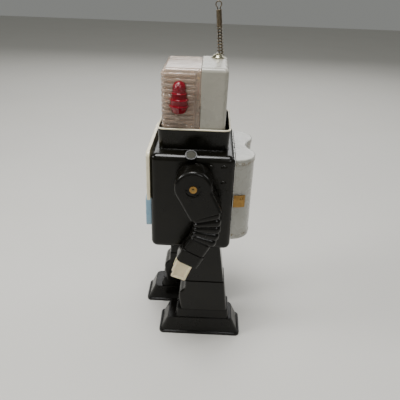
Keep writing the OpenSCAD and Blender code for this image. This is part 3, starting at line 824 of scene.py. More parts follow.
class ROBOT_OT_front_panel(bpy.types.Operator):
    """Model the cream front panel with its deep rolled rim"""
    bl_idname = "robot.front_panel"
    bl_label = "Front panel"

    def execute(self, context):
        size = mm_of(context.scene.robot_chest)
        lowest, highest = low("front_panel"), high("front_panel")
        corner = 5
        rim = size["rim"] * 2.8
        panel = block("front_panel_skin", (lowest.x, lowest.y, lowest.z - 20), (highest.x, FRONT, highest.z))
        soften(panel, corner, 8, lambda middle, along: abs(along.y) > 0.9)
        hollow = block(
            "hollow", (lowest.x + rim, lowest.y - 5, lowest.z - 30),
            (highest.x - rim, FRONT - PANEL, highest.z - rim))
        soften(hollow, corner - rim, 8, lambda middle, along: abs(along.y) > 0.9)
        carve(panel, hollow)
        slice_off(panel, (0, 0, lowest.z), (0, 0, -1), fill=True)
        soften(panel, rim * 0.48, 5, lambda middle, along: (
            middle.y < lowest.y + 0.05 and middle.z > lowest.z + 0.1))
        hand_over(panel, "torso", "cream_enamel", ["front_panel"])
        return {"FINISHED"}


class ROBOT_OT_collar(bpy.types.Operator):
    """Model the neck collar and its rolled rim"""
    bl_idname = "robot.collar"
    bl_label = "Neck collar"

    # How much narrower and shallower the collar is at its foot
    FOOT_WIDTH = 0.935
    FOOT_DEPTH = 0.965

    def execute(self, context):
        size = mm_of(context.scene.robot_chest)
        lowest, highest = low("neck_collar"), high("neck_collar")
        inset = 0.5
        collar = block(
            "collar_skin", (lowest.x + inset, lowest.y + inset, TOP),
            (highest.x - inset, highest.y - inset, highest.z - 0.6))
        soften(collar, 6, 6, lambda middle, along: abs(along.z) > 0.9)
        edit(collar)
        pick(collar, "FACE", lambda face, middle, normal: abs(normal.z) > 0.9)
        bpy.ops.mesh.delete(type="FACE")
        leave_edit()
        for vertex in collar.data.vertices:
            if vertex.co.z < (TOP + 1) * MM:
                vertex.co.x *= self.FOOT_WIDTH
                vertex.co.y *= self.FOOT_DEPTH
        thicken(collar, 1.2)
        hand_over(collar, "torso", "black_tin", ["neck_collar"])
        width = highest.x - lowest.x - 2 * inset
        depth = highest.y - lowest.y - 2 * inset
        bead = rounded_loop(width - 0.9, depth - 0.9, 5.6, highest.z - size["rim"])
        rim = pipe("collar_rim", bead, size["rim"], closed=True)
        hand_over(rim, "torso", "cream_enamel", angle=60)
        seam = rounded_loop(width * self.FOOT_WIDTH, depth * self.FOOT_DEPTH, 6, TOP + 0.2)
        foot = pipe("collar_foot", seam, 0.6, closed=True)
        hand_over(foot, "torso", "black_tin", angle=60)
        return {"FINISHED"}


HEAD_TAPER = 0.035


def head_form(name, corner, inset=0.0):
    """The whole head, rounded everywhere but at its foot and a little shallower there."""
    piece = block(
        name, (-HEAD_SIDE + inset, low("visor").y + inset, HEAD_FOOT),
        (HEAD_SIDE - inset, high("head_shell").y - inset, HEAD_TOP - inset))
    soften(piece, corner, 5, lambda middle, along: middle.z > HEAD_FOOT + 1)
    for vertex in piece.data.vertices:
        share = (HEAD_TOP - vertex.co.z / MM) / (HEAD_TOP - HEAD_FOOT)
        vertex.co.y *= 1 - HEAD_TAPER * share
    return piece


class ROBOT_OT_head(bpy.types.Operator):
    """Model the enamelled back of the head and the clear ribbed visor"""
    bl_idname = "robot.head"
    bl_label = "Head"

    RIBS = 11
    RIB_SHARE = 0.62  # of the pitch that a rib takes up

    def execute(self, context):
        size = mm_of(context.scene.robot_head)
        split = high("visor").y
        self.model_back(size, split)
        self.model_visor(size, split)
        return {"FINISHED"}

    def model_back(self, size, split):
        shell = head_form("head_back_skin", size["corner"])
        slice_off(shell, (0, split + 0.5, 0), (0, -1, 0))
        slice_off(shell, (0, 0, HEAD_FOOT + 0.01), (0, 0, -1))
        thicken(shell, 1)
        soften(shell, 0.3, 2, lambda middle, along: abs(middle.y - split - 0.5) < 0.05)
        hand_over(shell, "torso", "grey_enamel", ["head_shell"])

    def model_visor(self, size, split):
        visor = head_form("visor_skin", size["corner"] - 0.4, size["rib_depth"])
        slice_off(visor, (0, split, 0), (0, 1, 0))
        slice_off(visor, (0, 0, HEAD_FOOT + 0.01), (0, 0, -1))
        band_y = split - size["band"]
        score(visor, (0, band_y, 0), (0, 1, 0))
        pitch = size["rib_pitch"]
        first = HEAD_TOP - size["corner"] - 1.2
        rib = pitch * self.RIB_SHARE
        starts = [first - i * pitch for i in range(self.RIBS)]
        for start in starts:
            score(visor, (0, 0, start), (0, 0, 1))
            score(visor, (0, 0, start - rib), (0, 0, 1))
        edit(visor)
        pick(visor, "FACE", lambda face, middle, normal: abs(normal.z) < 0.5 and middle.y < band_y and any(
            start - rib < middle.z < start for start in starts))
        bpy.ops.mesh.extrude_region_shrink_fatten(
            TRANSFORM_OT_shrink_fatten={"value": size["rib_depth"] * MM})
        leave_edit()
        soften(visor, 0.55, 3, lambda middle, along: abs(along.z) < 0.2 and middle.y < band_y - 0.5
               and middle.z < first + 1)
        thicken(visor, 1.2)
        hand_over(visor, "torso", "clear_plastic", ["visor"], angle=40)


class ROBOT_OT_beacons(bpy.types.Operator):
    """Model the two red ear beacons and their studs"""
    bl_idname = "robot.beacons"
    bl_label = "Ear beacons"

    def execute(self, context):
        size = mm_of(context.scene.robot_head)
        lowest, highest = low("ear_lamps"), high("ear_lamps")
        y = (lowest.y + highest.y) / 2
        dome = size["beacon"]
        profile = [(0, lowest.z), (dome - 0.4, lowest.z), (dome + 0.2, lowest.z + 0.7)]
        for level, reach, neck in ((6, 8.8, 7.5), (11.3, 8.3, 6.7), (16.4, 7.1, dome)):
            z = lowest.z + level
            flange = [(reach - 0.7, z - 0.55), (reach, z - 0.3), (reach, z + 0.3), (reach - 0.7, z + 0.55)]
            profile += flange + [(neck, z + 1)]
            if neck > dome:
                profile.append((neck - 0.2, z + 4.2))
        profile += arc((0, highest.z - dome), dome, 0, 90, 8)
        points = [(HEAD_SIDE - 0.4, y - r, z) for r, z in profile]
        beacon = lathe("beacon_left_skin", points, (HEAD_SIDE - 0.4, y, 0), (0, 0, 1), 180, 32)
        twin = mirrored(beacon, "beacon_right_skin")
        hand_over(beacon, "torso", "red_lens", ["ear_lamps"], angle=40)
        hand_over(twin, "torso", "red_lens", angle=40)
        self.studs(y - 2.2, lowest.z)
        return {"FINISHED"}

    def studs(self, y, top):
        made = []
        for side in (-1, 1):
            x = side * HEAD_SIDE
            stem = block("stem", (x - 0.9, y - 0.8, top - 6), (x + 0.9, y + 0.8, top))
            soften(stem, 0.35, 2)
            nub = rod("nub", (side * (HEAD_SIDE - 0.6), y + 0.4, top - 5.6), (side, 0, 0), 2, 2.1, 20)
            soften(nub, 0.6, 3)
            made += [stem, nub]
        studs = weld("beacon_studs", made)
        hand_over(studs, "torso", "clear_plastic", angle=40)


class ROBOT_OT_aerial(bpy.types.Operator):
    """Model the aerial: brass dome, hairpin wire with its loop, and the coil round it"""
    bl_idname = "robot.aerial"
    bl_label = "Aerial"

    def execute(self, context):
        wire = mm_of(context.scene.robot_head)["coil_wire"]
        lowest, highest = low("antenna_base"), high("antenna_base")
        centre = (lowest + highest) / 2
        radius = (highest.x - lowest.x) / 2
        profile = [(radius, HEAD_TOP), (radius, HEAD_TOP + 0.8), (radius - 0.5, HEAD_TOP + 1.1)]
        profile += [(x, HEAD_TOP + 1 + z * 0.5) for x, z in arc((0, 0), radius - 0.8, 12, 60, 6)]
        profile += [(2.7, HEAD_TOP + 3.6), (2.4, HEAD_TOP + 4), (0, HEAD_TOP + 4)]
        points = [(centre.x + r, centre.y, z) for r, z in profile]
        dome = lathe("aerial_base_skin", points, (centre.x, centre.y, 0), (0, 0, 1), 360, 40)
        hand_over(dome, "torso", "brass", ["antenna_base"], angle=40, finish="dull_dome")
        self.wires(wire)
        return {"FINISHED"}

    def wires(self, wire):
        lowest, highest = low("antenna_spring"), high("antenna_spring")
        foot = Vector((-19, highest.y - 3, lowest.z + 0.2))
        tip = Vector((-19, lowest.y + 2.6, highest.z - 0.2))
        up = (tip - foot).normalized()
        across = Vector((0, 1, 0)) - up * up.y
        across.normalize()
        out = up.cross(across)
        reach = (tip - foot).length
        loop_r = 2.5
        grip = 1.35

        def at(rise, y, x=0.0):
            return foot + up * rise + across * y + out * x

        eye = reach - loop_r
        hairpin = [at(0.5, -grip), at(reach * 0.5, -grip), at(eye - 3.6, -grip * 0.8)]
        hairpin += [at(eye + z, y) for y, z in arc((0, 0), loop_r, 235, -55, 16)]
        hairpin += [at(eye - 3.6, grip * 0.8), at(reach * 0.5, grip), at(0.5, grip)]
        turns = 9
        steps = turns * 14
        top = reach * 0.53
        coil = []
        for i in range(steps + 1):
            share = i / steps
            angle = 2 * math.pi * turns * share
            r = 2.9 - 0.75 * share
            coil.append(at(top * share, r * math.cos(angle), r * math.sin(angle)))
        close_turns = 22
        steps = close_turns * 10
        for i in range(1, steps + 1):
            share = i / steps
            angle = 2 * math.pi * (turns + close_turns * share)
            coil.append(at(top + (eye - 4.4 - top) * share, 2.1 * math.cos(angle), 2.1 * math.sin(angle)))
        spring = weld("aerial_spring", [
            pipe("hairpin", hairpin, wire), pipe("coil", coil, wire * 0.84)])
        hand_over(spring, "torso", "spring_steel", ["antenna_spring"], angle=60)


class ROBOT_OT_screen(bpy.types.Operator):
    """Model the light blue bezel of the chest screen"""
    bl_idname = "robot.screen"
    bl_label = "Screen bezel"

    def execute(self, context):
        lowest, highest = low("screen_bezel"), high("screen_bezel")
        bezel = block("screen_bezel_skin", lowest, highest)
        soften(bezel, 5, 8, lambda middle, along: abs(along.y) > 0.9)
        window = (high("screen_window") - low("screen_window")) / 2
        middle = (lowest + highest) / 2
        for grow, depth in ((0, 20), (2.6, 1.6)):
            half = Vector((window.x + grow, depth, window.z + grow))
            centre = Vector((middle.x, lowest.y, middle.z))
            hole = block("window_cut", centre - half, centre + half)
            soften(hole, 4, 6, lambda middle, along: abs(along.y) > 0.9)
            carve(bezel, hole)
        soften(bezel, 0.9, 3, lambda middle, along: middle.y < lowest.y + 0.05)
        hand_over(bezel, "torso", "blue_plastic", ["screen_bezel"], angle=40)
        return {"FINISHED"}


class ROBOT_OT_knob(bpy.types.Operator):
    """Model the shoulder switch knob with its fluted rim, and its face painted a lighter olive than the black
    plastic as a painted highlight
    """
    bl_idname = "robot.knob"
    bl_label = "Switch knob"

    def execute(self, context):
        axis = Vector(joint_named("switch_turn")["axis"])
        seat = pivot_of("switch_turn") + axis * 6.6
        skirt = rod("knob_skin", seat, axis, 5, 6, 72)
        edit(skirt)
        pick(skirt, "FACE", lambda face, middle, normal: abs(normal.dot(axis)) < 0.1)
        mesh = bmesh.from_edit_mesh(skirt.data)
        sides = [face for face in mesh.faces if face.select]
        for i, face in enumerate(sides):
            face.select_set(i % 3 == 0)
        bmesh.update_edit_mesh(skirt.data)
        bpy.ops.mesh.extrude_region_shrink_fatten(TRANSFORM_OT_shrink_fatten={"value": -0.35 * MM})
        pick(skirt, "FACE", lambda face, middle, normal: normal.dot(axis) > 0.95 and len(face.verts) > 8)
        bpy.ops.mesh.inset(thickness=0.7 * MM, depth=0)
        bpy.ops.mesh.inset(thickness=0.3 * MM, depth=-0.5 * MM)
        leave_edit()
        shaft = rod("shaft", seat - axis * 10, axis, 2.2, 10.2, 24)
        knob = weld("knob_skin", [skirt, shaft])
        hand_over(knob, "switch", "black_plastic", ["switch_knob"], angle=40)
        # The face is black plastic, painted a lighter olive as a painted highlight where it catches the light.
        face = rod("knob_face", seat + axis * 5.4, axis, 3.9, 0.45, 48)
        soften(face, 0.2, 2)
        hand_over(face, "switch", "black_plastic", finish="painted_highlight_face")
        return {"FINISHED"}


class ROBOT_OT_case(bpy.types.Operator):
    """Model the twin battery case with its lid, base, seams and brass catches"""
    bl_idname = "robot.case"
    bl_label = "Battery case"

    def execute(self, context):
        size = mm_of(context.scene.robot_case)
        bottom, top = low("tank_base").z, high("tank_lid").z
        lid_z = low("tank_lid").z
        base_z = high("tank_base").z
        wall = self.skin("case_skin", size, 0, base_z - 0.6, lid_z + 0.6)
        hand_over(wall, "battery_case", "pale_enamel", ["tank_shell"])
        lid = self.skin("case_lid", size, 0.35, lid_z, top, ("top",))
        hand_over(lid, "battery_case", "pale_enamel", ["tank_lid"])
        base = self.skin("case_base", size, 0.3, bottom, base_z, ("bottom",))
        hand_over(base, "battery_case", "pale_enamel", ["tank_base"])
        beads = []
        for z in (lid_z + 0.3, top - 0.9, base_z - 0.2):
            path = [(x, y, z) for x, y in self.outline(size, 0.05)]
            beads.append(pipe("bead", path, size["seam"] * 0.62))
        seams = weld("case_seams", beads)
        hand_over(seams, "battery_case", "pale_enamel", angle=60)
        self.catches()
        return {"FINISHED"}

    def outline(self, size, grow):
        """The open plan outline, from one side of the chest round to the other."""
        radius = size["radius"] + grow
        waist = size["waist"] - grow
        x = size["spacing"]
        rise = math.sqrt((radius + waist) ** 2 - x ** 2)
        meet = math.degrees(math.atan2(rise, x))
        left = arc((-x, CASE_FRONT), radius, 180, meet, 18)
        hollow = arc((0, CASE_FRONT + rise), waist, 180 + meet, 360 - meet, 8)
        right = arc((x, CASE_FRONT), radius, 180 - meet, 0, 18)
        return left + hollow[1:-1] + right

    def skin(self, name, size, grow, z0, z1, ends=()):
        """A pressed wall along the outline, open to the chest and closed only at the ends that are named."""
        outline = [(x, y, z0) for x, y in self.outline(size, grow)]
        piece = prism(name, outline, (0, 0, z1 - z0))
        edit(piece)
        pick(piece, "FACE", lambda face, middle, normal: (
            normal.y < -0.9 or normal.z > 0.9 and "top" not in ends
            or normal.z < -0.9 and "bottom" not in ends))
        bpy.ops.mesh.delete(type="FACE")
        leave_edit()
        soften(piece, 1.1, 3, lambda middle, along: abs(along.z) < 0.1)
        thicken(piece, 0.9)
        return piece

    def catches(self):
        lowest, highest = low("catch_left"), high("catch_left")
        plan = [(41.4, 0.2), (42.2, 0.2), (42.3, 2.5), (41.8, 5.5), (40.3, 10.2),
                (40.4, 10.9), (40.1, 11), (39.5, 10.4), (40.9, 5.3), (41.5, 2.4)]
        outline = [(x, BACK + y, lowest.z) for x, y in plan]
        leaf = prism("catch_leaf", outline, (0, 0, highest.z - lowest.z))
        soften(leaf, 0.16, 2)
        start_clean()
        place = Vector((40.4, BACK + 7.4, lowest.z + 8)) * MM
        bpy.ops.mesh.primitive_uv_sphere_add(segments=24, ring_count=12, radius=2.1 * MM, location=place)
        dimple = christen("dimple")
        dimple.scale = (0.7, 1, 1)
        settle(dimple)
        catch = weld("catch_left_skin", [leaf, dimple])
        twin = mirrored(catch, "catch_right_skin")
        hand_over(catch, "left_catch", "brass", ["catch_left"])
        hand_over(twin, "right_catch", "brass", ["catch_right"])
        keeper = block("keeper", (38.2, BACK + 4.2, lowest.z - 2.2), (39.9, BACK + 7.2, highest.z + 0.6))
        soften(keeper, 0.4, 2)
        other = mirrored(keeper, "keeper_twin")
        keepers = weld("case_keepers", [keeper, other])
        hand_over(keepers, "battery_case", "pale_enamel")


class ROBOT_OT_arms(bpy.types.Operator):
    """Model both arms: shoulder and upper arm, bellows elbow, forearm, claw and pivot"""
    bl_idname = "robot.arms"
    bl_label = "Arms"

    # The elbow bends round a centre, given as (y, z), between two angles in degrees
    BEND = (-20.7, 147.8)
    BEND_INNER = 22.6
    BEND_FROM = 21
    BEND_TO = -24
    PLEATS = 5
    # The forearm leans forward about the wrist, given as (y, z)
    WRIST = (-2, 109)
    LEAN = math.radians(27)

    def execute(self, context):
        size = mm_of(context.scene.robot_arm)
        self.upper_arm(size)
        self.bellows(size)
        self.forearm(size)
        self.claw(size)
        self.pivot()
        return {"FINISHED"}

    def share(self, piece, stem, node, slot_name="black_plastic", **more):
        both_sides(piece, stem, ("left_arm", "right_arm"), slot_name, node, placed_on_right_arm, **more)

    def upper_arm(self, size):
        """A drum that runs down into a tapering sleeve, in one moulding."""
        ends = [arc(self.BEND, reach, self.BEND_FROM, self.BEND_FROM, 1)[0]
                for reach in (self.BEND_INNER, self.BEND_INNER + size["cuff"])]
        across = Vector((0, -math.sin(math.radians(self.BEND_FROM)), math.cos(math.radians(self.BEND_FROM))))
        bend = Vector((0, *self.BEND))

        def at_cuff(middle):
            return abs((middle - bend).dot(across)) < 0.05

        outline = arc((SHOULDER.y, SHOULDER.z), size["shoulder"], -8, 196, 26) + [ends[0], ends[1]]
        arm = prism("upper_arm_left_skin", [(ARM_IN, y, z) for y, z in outline], (ARM_OUT - ARM_IN, 0, 0))
        soften(arm, size["edge"], 5, lambda middle, along: middle.x > ARM_OUT - 0.1 and not at_cuff(middle))
        soften(arm, 1.2, 3, lambda middle, along: middle.x < ARM_IN + 0.1)
        soften(arm, 0.8, 3, lambda middle, along: at_cuff(middle) and abs(along.dot(across)) < 0.1)
        carve(arm, rod("recess_cut", (ARM_OUT - 1.1, SHOULDER.y, SHOULDER.z), (1, 0, 0), 7, 4, 40))
        self.share(arm, "upper_arm", "upper_arm")

    def bellows(self, size):
        """Five pleats that fan round the inside of the elbow."""
        inner, width, thick = self.BEND_INNER + 1.2, size["cuff"] - 3.4, ARM_OUT - ARM_IN - 2
        middle_reach = inner + width / 2
        middle_x = (ARM_IN + ARM_OUT) / 2 - 0.4
        steps_per_pleat = 6
        lap = 1.5
        first = self.BEND_FROM + lap
        start = math.radians(first)
        section = rounded_loop(thick, width, 4.5, 0, steps=4)
        outward = Vector((0, math.cos(start), math.sin(start)))
        centre = Vector((middle_x, *self.BEND))
        points = [centre + outward * (middle_reach + v) + Vector((u, 0, 0)) for u, v, w in section]
        sweep = self.BEND_FROM - self.BEND_TO + 2 * lap
        tube = chain("elbow_left_skin", points + [points[0]])
        bpy.ops.mesh.remove_doubles(threshold=0.01 * MM)
        bpy.ops.mesh.select_all(action="SELECT")
        spin(centre, (-1, 0, 0), sweep, self.PLEATS * steps_per_pleat)
        tidy_normals()
        leave_edit()
        for vertex in tube.data.vertices:
            spot = vertex.co / MM - centre
            angle = math.degrees(math.atan2(spot.z, spot.y))
            phase = (first - angle) / sweep * self.PLEATS
            fold = abs(math.sin(math.pi * phase))
            reach = math.hypot(spot.y, spot.z)
            shrink = 0.89 + 0.11 * fold ** 0.5 - 0.05 * phase / self.PLEATS
            new_reach = middle_reach + (reach - middle_reach) * shrink - 1.4 * phase / self.PLEATS
            vertex.co = (centre + Vector((
                spot.x * (shrink + 0.02), spot.y * new_reach / reach, spot.z * new_reach / reach))) * MM
        self.share(tube, "elbow", "elbow", angle=50)

    def tilted(self, piece):
        """Turns a piece drawn hanging straight down from the wrist to the forearm's lean."""
        about = Matrix.Translation(Vector((0, *self.WRIST)) * MM)
        piece.data.transform(about @ Matrix.Rotation(-self.LEAN, 4, "X") @ about.inverted())
        return piece

    def forearm(self, size):
        y, z = self.WRIST
        half = size["sleeve"] / 2
        x0, x1 = ARM_IN + 0.6, ARM_OUT - 0.8
        sleeve = block("sleeve", (x0 + 0.9, y - half + 0.9, z + 12), (x1 - 0.9, y + half - 0.9, z + 28))
        soften(sleeve, 4, 5, lambda middle, along: abs(along.z) > 0.9)
        soften(sleeve, 2, 3, lambda middle, along: middle.z > z + 27.5)
        band = block("band", (x0, y - half, z), (x1, y + half, z + 13.6))
        soften(band, 4.6, 5, lambda middle, along: abs(along.z) > 0.9)
        edit(band)
        pick(band, "FACE", lambda face, middle, normal: normal.z < -0.9)
        bpy.ops.mesh.inset(thickness=2 * MM, depth=0)
        bpy.ops.mesh.extrude_region_move(TRANSFORM_OT_translate={"value": Vector((0, 0, 6)) * MM})
        leave_edit()
        soften(band, 0.45, 3)
        sleeve = weld("forearm_left_skin", [sleeve, band])
        self.share(self.tilted(sleeve), "forearm", "forearm")

    def claw(self, size):
        """Two plates with turned-in rims, joined across the top and down the back."""
        y, z = self.WRIST
        wall = size["plate"]
        plate = [(-9.4, 1), (5.6, 1), (6.3, -8), (7.3, -17), (6.6, -18.4), (-5.6, -20.2), (-6.8, -19.6),
                 (-7.6, -14), (-8.6, -12.6), (-9.6, -5)]
        made = []
        for x in (ARM_OUT - 3 - wall, ARM_IN + 9):
            shape = prism("plate", [(x, y + v, z + w) for v, w in plate], (wall, 0, 0))
            outer = x > ARM_IN + 12
            edit(shape)
            pick(shape, "FACE", lambda face, middle, normal: (
                (normal.x > 0.9) == outer and abs(normal.x) > 0.9))
            bpy.ops.mesh.inset(thickness=1.7 * MM, depth=0)
            bpy.ops.mesh.inset(thickness=0.7 * MM, depth=-0.75 * MM)
            leave_edit()
            soften(shape, 0.35, 2, lambda middle, along: middle.x > x + wall - 0.1 or middle.x < x + 0.1)
            made.append(shape)
        web = [(-8, 1), (5.2, 1), (5.8, -8), (6.4, -14), (4.4, -14), (4, -3.6), (-8, -2.4)]
        bridge = prism("bridge", [(ARM_IN + 10, y + v, z + w) for v, w in web], (ARM_OUT - ARM_IN - 14, 0, 0))
        soften(bridge, 0.3, 2)
        claw = self.tilted(weld("hand_left_skin", made + [bridge]))
        self.share(claw, "hand", "hand", "cream_plastic")

    def pivot(self):
        """A domed brass rivet, with four small black lugs round it."""
        x, y, z = centre = (ARM_OUT - 1.05, SHOULDER.y, SHOULDER.z)
        rise = [(0, 0.95), (0.9, 0.85), (1.7, 0.5), (2.2, 0), (2.2, -0.4)]
        profile = [(x + out, y + reach, z) for reach, out in rise]
        head = lathe("rivet", profile, centre, (1, 0, 0), 360, 28)
        self.share(head, "arm_rivet", None, "brass", finish="rivet_brass")
        lugs = []
        about = Matrix.Translation(Vector(centre) * MM)
        for i in range(4):
            lug = block("lug", (x - 0.1, y + 5, z - 1), (x + 0.6, y + 7.2, z + 1))
            soften(lug, 0.25, 2)
            lug.data.transform(about @ Matrix.Rotation(math.radians(90 * i + 20), 4, "X") @ about.inverted())
            lugs.append(lug)
        self.share(weld("arm_lugs_left", lugs), "arm_lugs", None)


class ROBOT_OT_legs(bpy.types.Operator):
    """Model both legs with their boots and stepped feet"""
    bl_idname = "robot.legs"
    bl_label = "Legs and feet"

    def execute(self, context):
        size = mm_of(context.scene.robot_leg)
        self.leg(size)
        self.boot(size)
        self.foot(size)
        return {"FINISHED"}

    def share(self, piece, node, slot_name):
        both_sides(piece, node, ("left_leg", "right_leg"), slot_name, node, placed_on_right_leg)

    def leg(self, size):
        lowest, highest = low("leg_left"), high("leg_left")
        back_top = highest.y - 6
        outline = [(lowest.y, lowest.z), (highest.y, lowest.z), (back_top, highest.z), (lowest.y, highest.z)]
        leg = prism("leg_left_skin", [(lowest.x, y, z) for y, z in outline], (highest.x - lowest.x, 0, 0))
        soften(leg, size["edge"], 4, lambda middle, along: abs(along.z) > 0.9)
        soften(leg, 0.6, 2, lambda middle, along: middle.z > highest.z - 0.1)
        slot = low("hanger_left")
        carve(leg, block(
            "hanger_cut", (slot.x - 0.4, slot.y + 3.6, highest.z - 9),
            (slot.x + 1.6, slot.y + 20.4, highest.z + 3)))
        self.share(leg, "leg", "black_tin")

    def boot(self, size):
        """A cuff over a bulging shin, drawn from the side."""
        lowest, highest = low("boot_left"), high("boot_left")
        foot_z, top_z = lowest.z, highest.z
        outline = [(-9, foot_z), (39.7, foot_z), (35.6, top_z - 1), (35.2, top_z), (-4.8, top_z), (-4.9, 60)]
        outline += [(-5.4, 57.8), (-7.6, 55.6), (-9.8, 53.4), (-10.9, 50.8), (-11, 47.5), (-10.6, 43)]
        boot = prism("boot_left_skin", [(lowest.x, y, z) for y, z in outline], (highest.x - lowest.x, 0, 0))
        soften(boot, size["edge"], 4, lambda middle, along: (
            abs(along.x) < 0.1 and abs(middle.z - foot_z) > 0.1 and abs(middle.z - top_z) > 0.1))
        soften(boot, 0.5, 2, lambda middle, along: middle.z > top_z - 0.1)
        self.share(boot, "boot", "black_tin")

    def foot(self, size):
        """A rim, a drafted base with a ledge, and a raised step, pulled up from one block."""
        lowest, highest = low("foot_left"), high("foot_left")
        rim, ledge, step = size["rim"], size["ledge"], highest.z
        foot = block("foot_left_skin", (lowest.x, lowest.y, 0), (highest.x, highest.y, rim))
        soften(foot, size["foot_corner"], 6, lambda middle, along: abs(along.z) > 0.9)
        edit(foot)

        def drawn_in(left, right, ends):
            return (lowest.x + left, highest.x - right, lowest.y + ends, highest.y - ends)

        self.grow_face(foot, 1, rim, 0, drawn_in(1.2, 1.4, 1.9))
        self.grow_face(foot, 1, rim, ledge - rim, drawn_in(3, 3.4, 9.6))
        self.grow_face(foot, 1, ledge, 0, (12, 39.2, -14.8, 42.8))
        self.grow_face(foot, 1, ledge, step - ledge, (13, 38.6, -13, 41.5))
        self.grow_face(foot, -1, 0, 0, drawn_in(2.6, 2.6, 3.1))
        self.grow_face(foot, -1, 0, ledge - 3, drawn_in(5, 5.4, 11.8))
        leave_edit()
        soften(foot, 0.9, 3, lambda middle, along: abs(along.z) < 0.5 and abs(middle.z - ledge) < 0.1
               and (middle.y < -15.5 or middle.y > 43.2 or middle.x > 39.6 or middle.x < 11.6))
        soften(foot, 1.1, 3, lambda middle, along: abs(middle.z - step) < 0.1)
        soften(foot, 0.5, 2, lambda middle, along: abs(middle.z - rim) < 0.1)
        self.share(foot, "foot", "black_plastic")

    def grow_face(self, foot, side, level, rise, box):
        """Insets or lifts the top (side 1) or bottom (side -1) face at a level, and fits it to a box
        in plan, given as its lowest and highest x and its lowest and highest y."""
        pick(foot, "FACE", lambda face, middle, normal: (
            normal.z * side > 0.9 and abs(middle.z - level) < 0.1 and len(face.verts) > 8))
        mesh = bmesh.from_edit_mesh(foot.data)
        chosen = [face for face in mesh.faces if face.select]
        inner = min(chosen, key=lambda face: face.calc_area())
        for face in chosen:
            face.select_set(face == inner)
        spots = [vertex.co / MM for vertex in inner.verts]
        x0, x1 = min(s.x for s in spots), max(s.x for s in spots)
        y0, y1 = min(s.y for s in spots), max(s.y for s in spots)
        bmesh.update_edit_mesh(foot.data)
        bpy.ops.mesh.extrude_region_move(TRANSFORM_OT_translate={"value": (0, 0, rise * MM)})
        centre = Vector(((x0 + x1) / 2, (y0 + y1) / 2, level + rise)) * MM
        bpy.ops.transform.resize(
            value=((box[1] - box[0]) / (x1 - x0), (box[3] - box[2]) / (y1 - y0), 1), center_override=centre)
        shift = Vector(((box[0] + box[1] - x0 - x1) / 2, (box[2] + box[3] - y0 - y1) / 2, 0)) * MM
        bpy.ops.transform.translate(value=shift)


class ROBOT_OT_fixings(bpy.types.Operator):
    """Model the small screws of the chest floor and the soles"""
    bl_idname = "robot.fixings"
    bl_label = "Fixings"

    def execute(self, context):
        floor = low("base_plate").z
        spots = [(x, y) for x in (-16, 16) for y in (-24, 24)]
        heads = [self.screw((x, y, floor)) for x, y in spots]
        hand_over(weld("floor_screws", heads), "torso", "zinc_steel")
        for side, body in (("left", "left_leg"), ("right", "right_leg")):
            plate_low, plate_high = low(f"sole_{side}"), high(f"sole_{side}")
            x = (plate_low.x + plate_high.x) / 2
            heads = [self.screw((x, y, plate_low.z), 1.5)
                     for y in (plate_low.y + 4.5, (plate_low.y + plate_high.y) / 2, plate_high.y - 4.5)]
            hand_over(weld(f"sole_screws_{side}", heads), body, "zinc_steel")
        return {"FINISHED"}

    def screw(self, place, radius=2.0):
        """A low pan head that looks down, with a slot."""
        axis = Vector((0, 0, -1))
        foot = Vector(place) - axis * 0.5
        head = rod("screw", foot, axis, radius, 1.05, 20)
        soften(head, 0.3, 2, lambda middle, along: (middle - foot).dot(axis) > 0.8)
        middle = foot + axis * 1.2
        half = Vector((radius, 0.25, 0.4))
        carve(head, block("slot", middle - half, middle + half))
        return head


class ROBOT_OT_frame_finishes(bpy.types.Operator):
    """Give every carried-over frame node the finish of its slot"""
    bl_idname = "robot.frame_finishes"
    bl_label = "Frame finishes"

    def execute(self, context):
        for part in frame["record"]["subparts"]:
            node = frame["nodes"][part["node"]]
            node.data.materials.clear()
            node.data.materials.append(FINISHES[part["material_slot"]])
        start_clean()
        return {"FINISHED"}


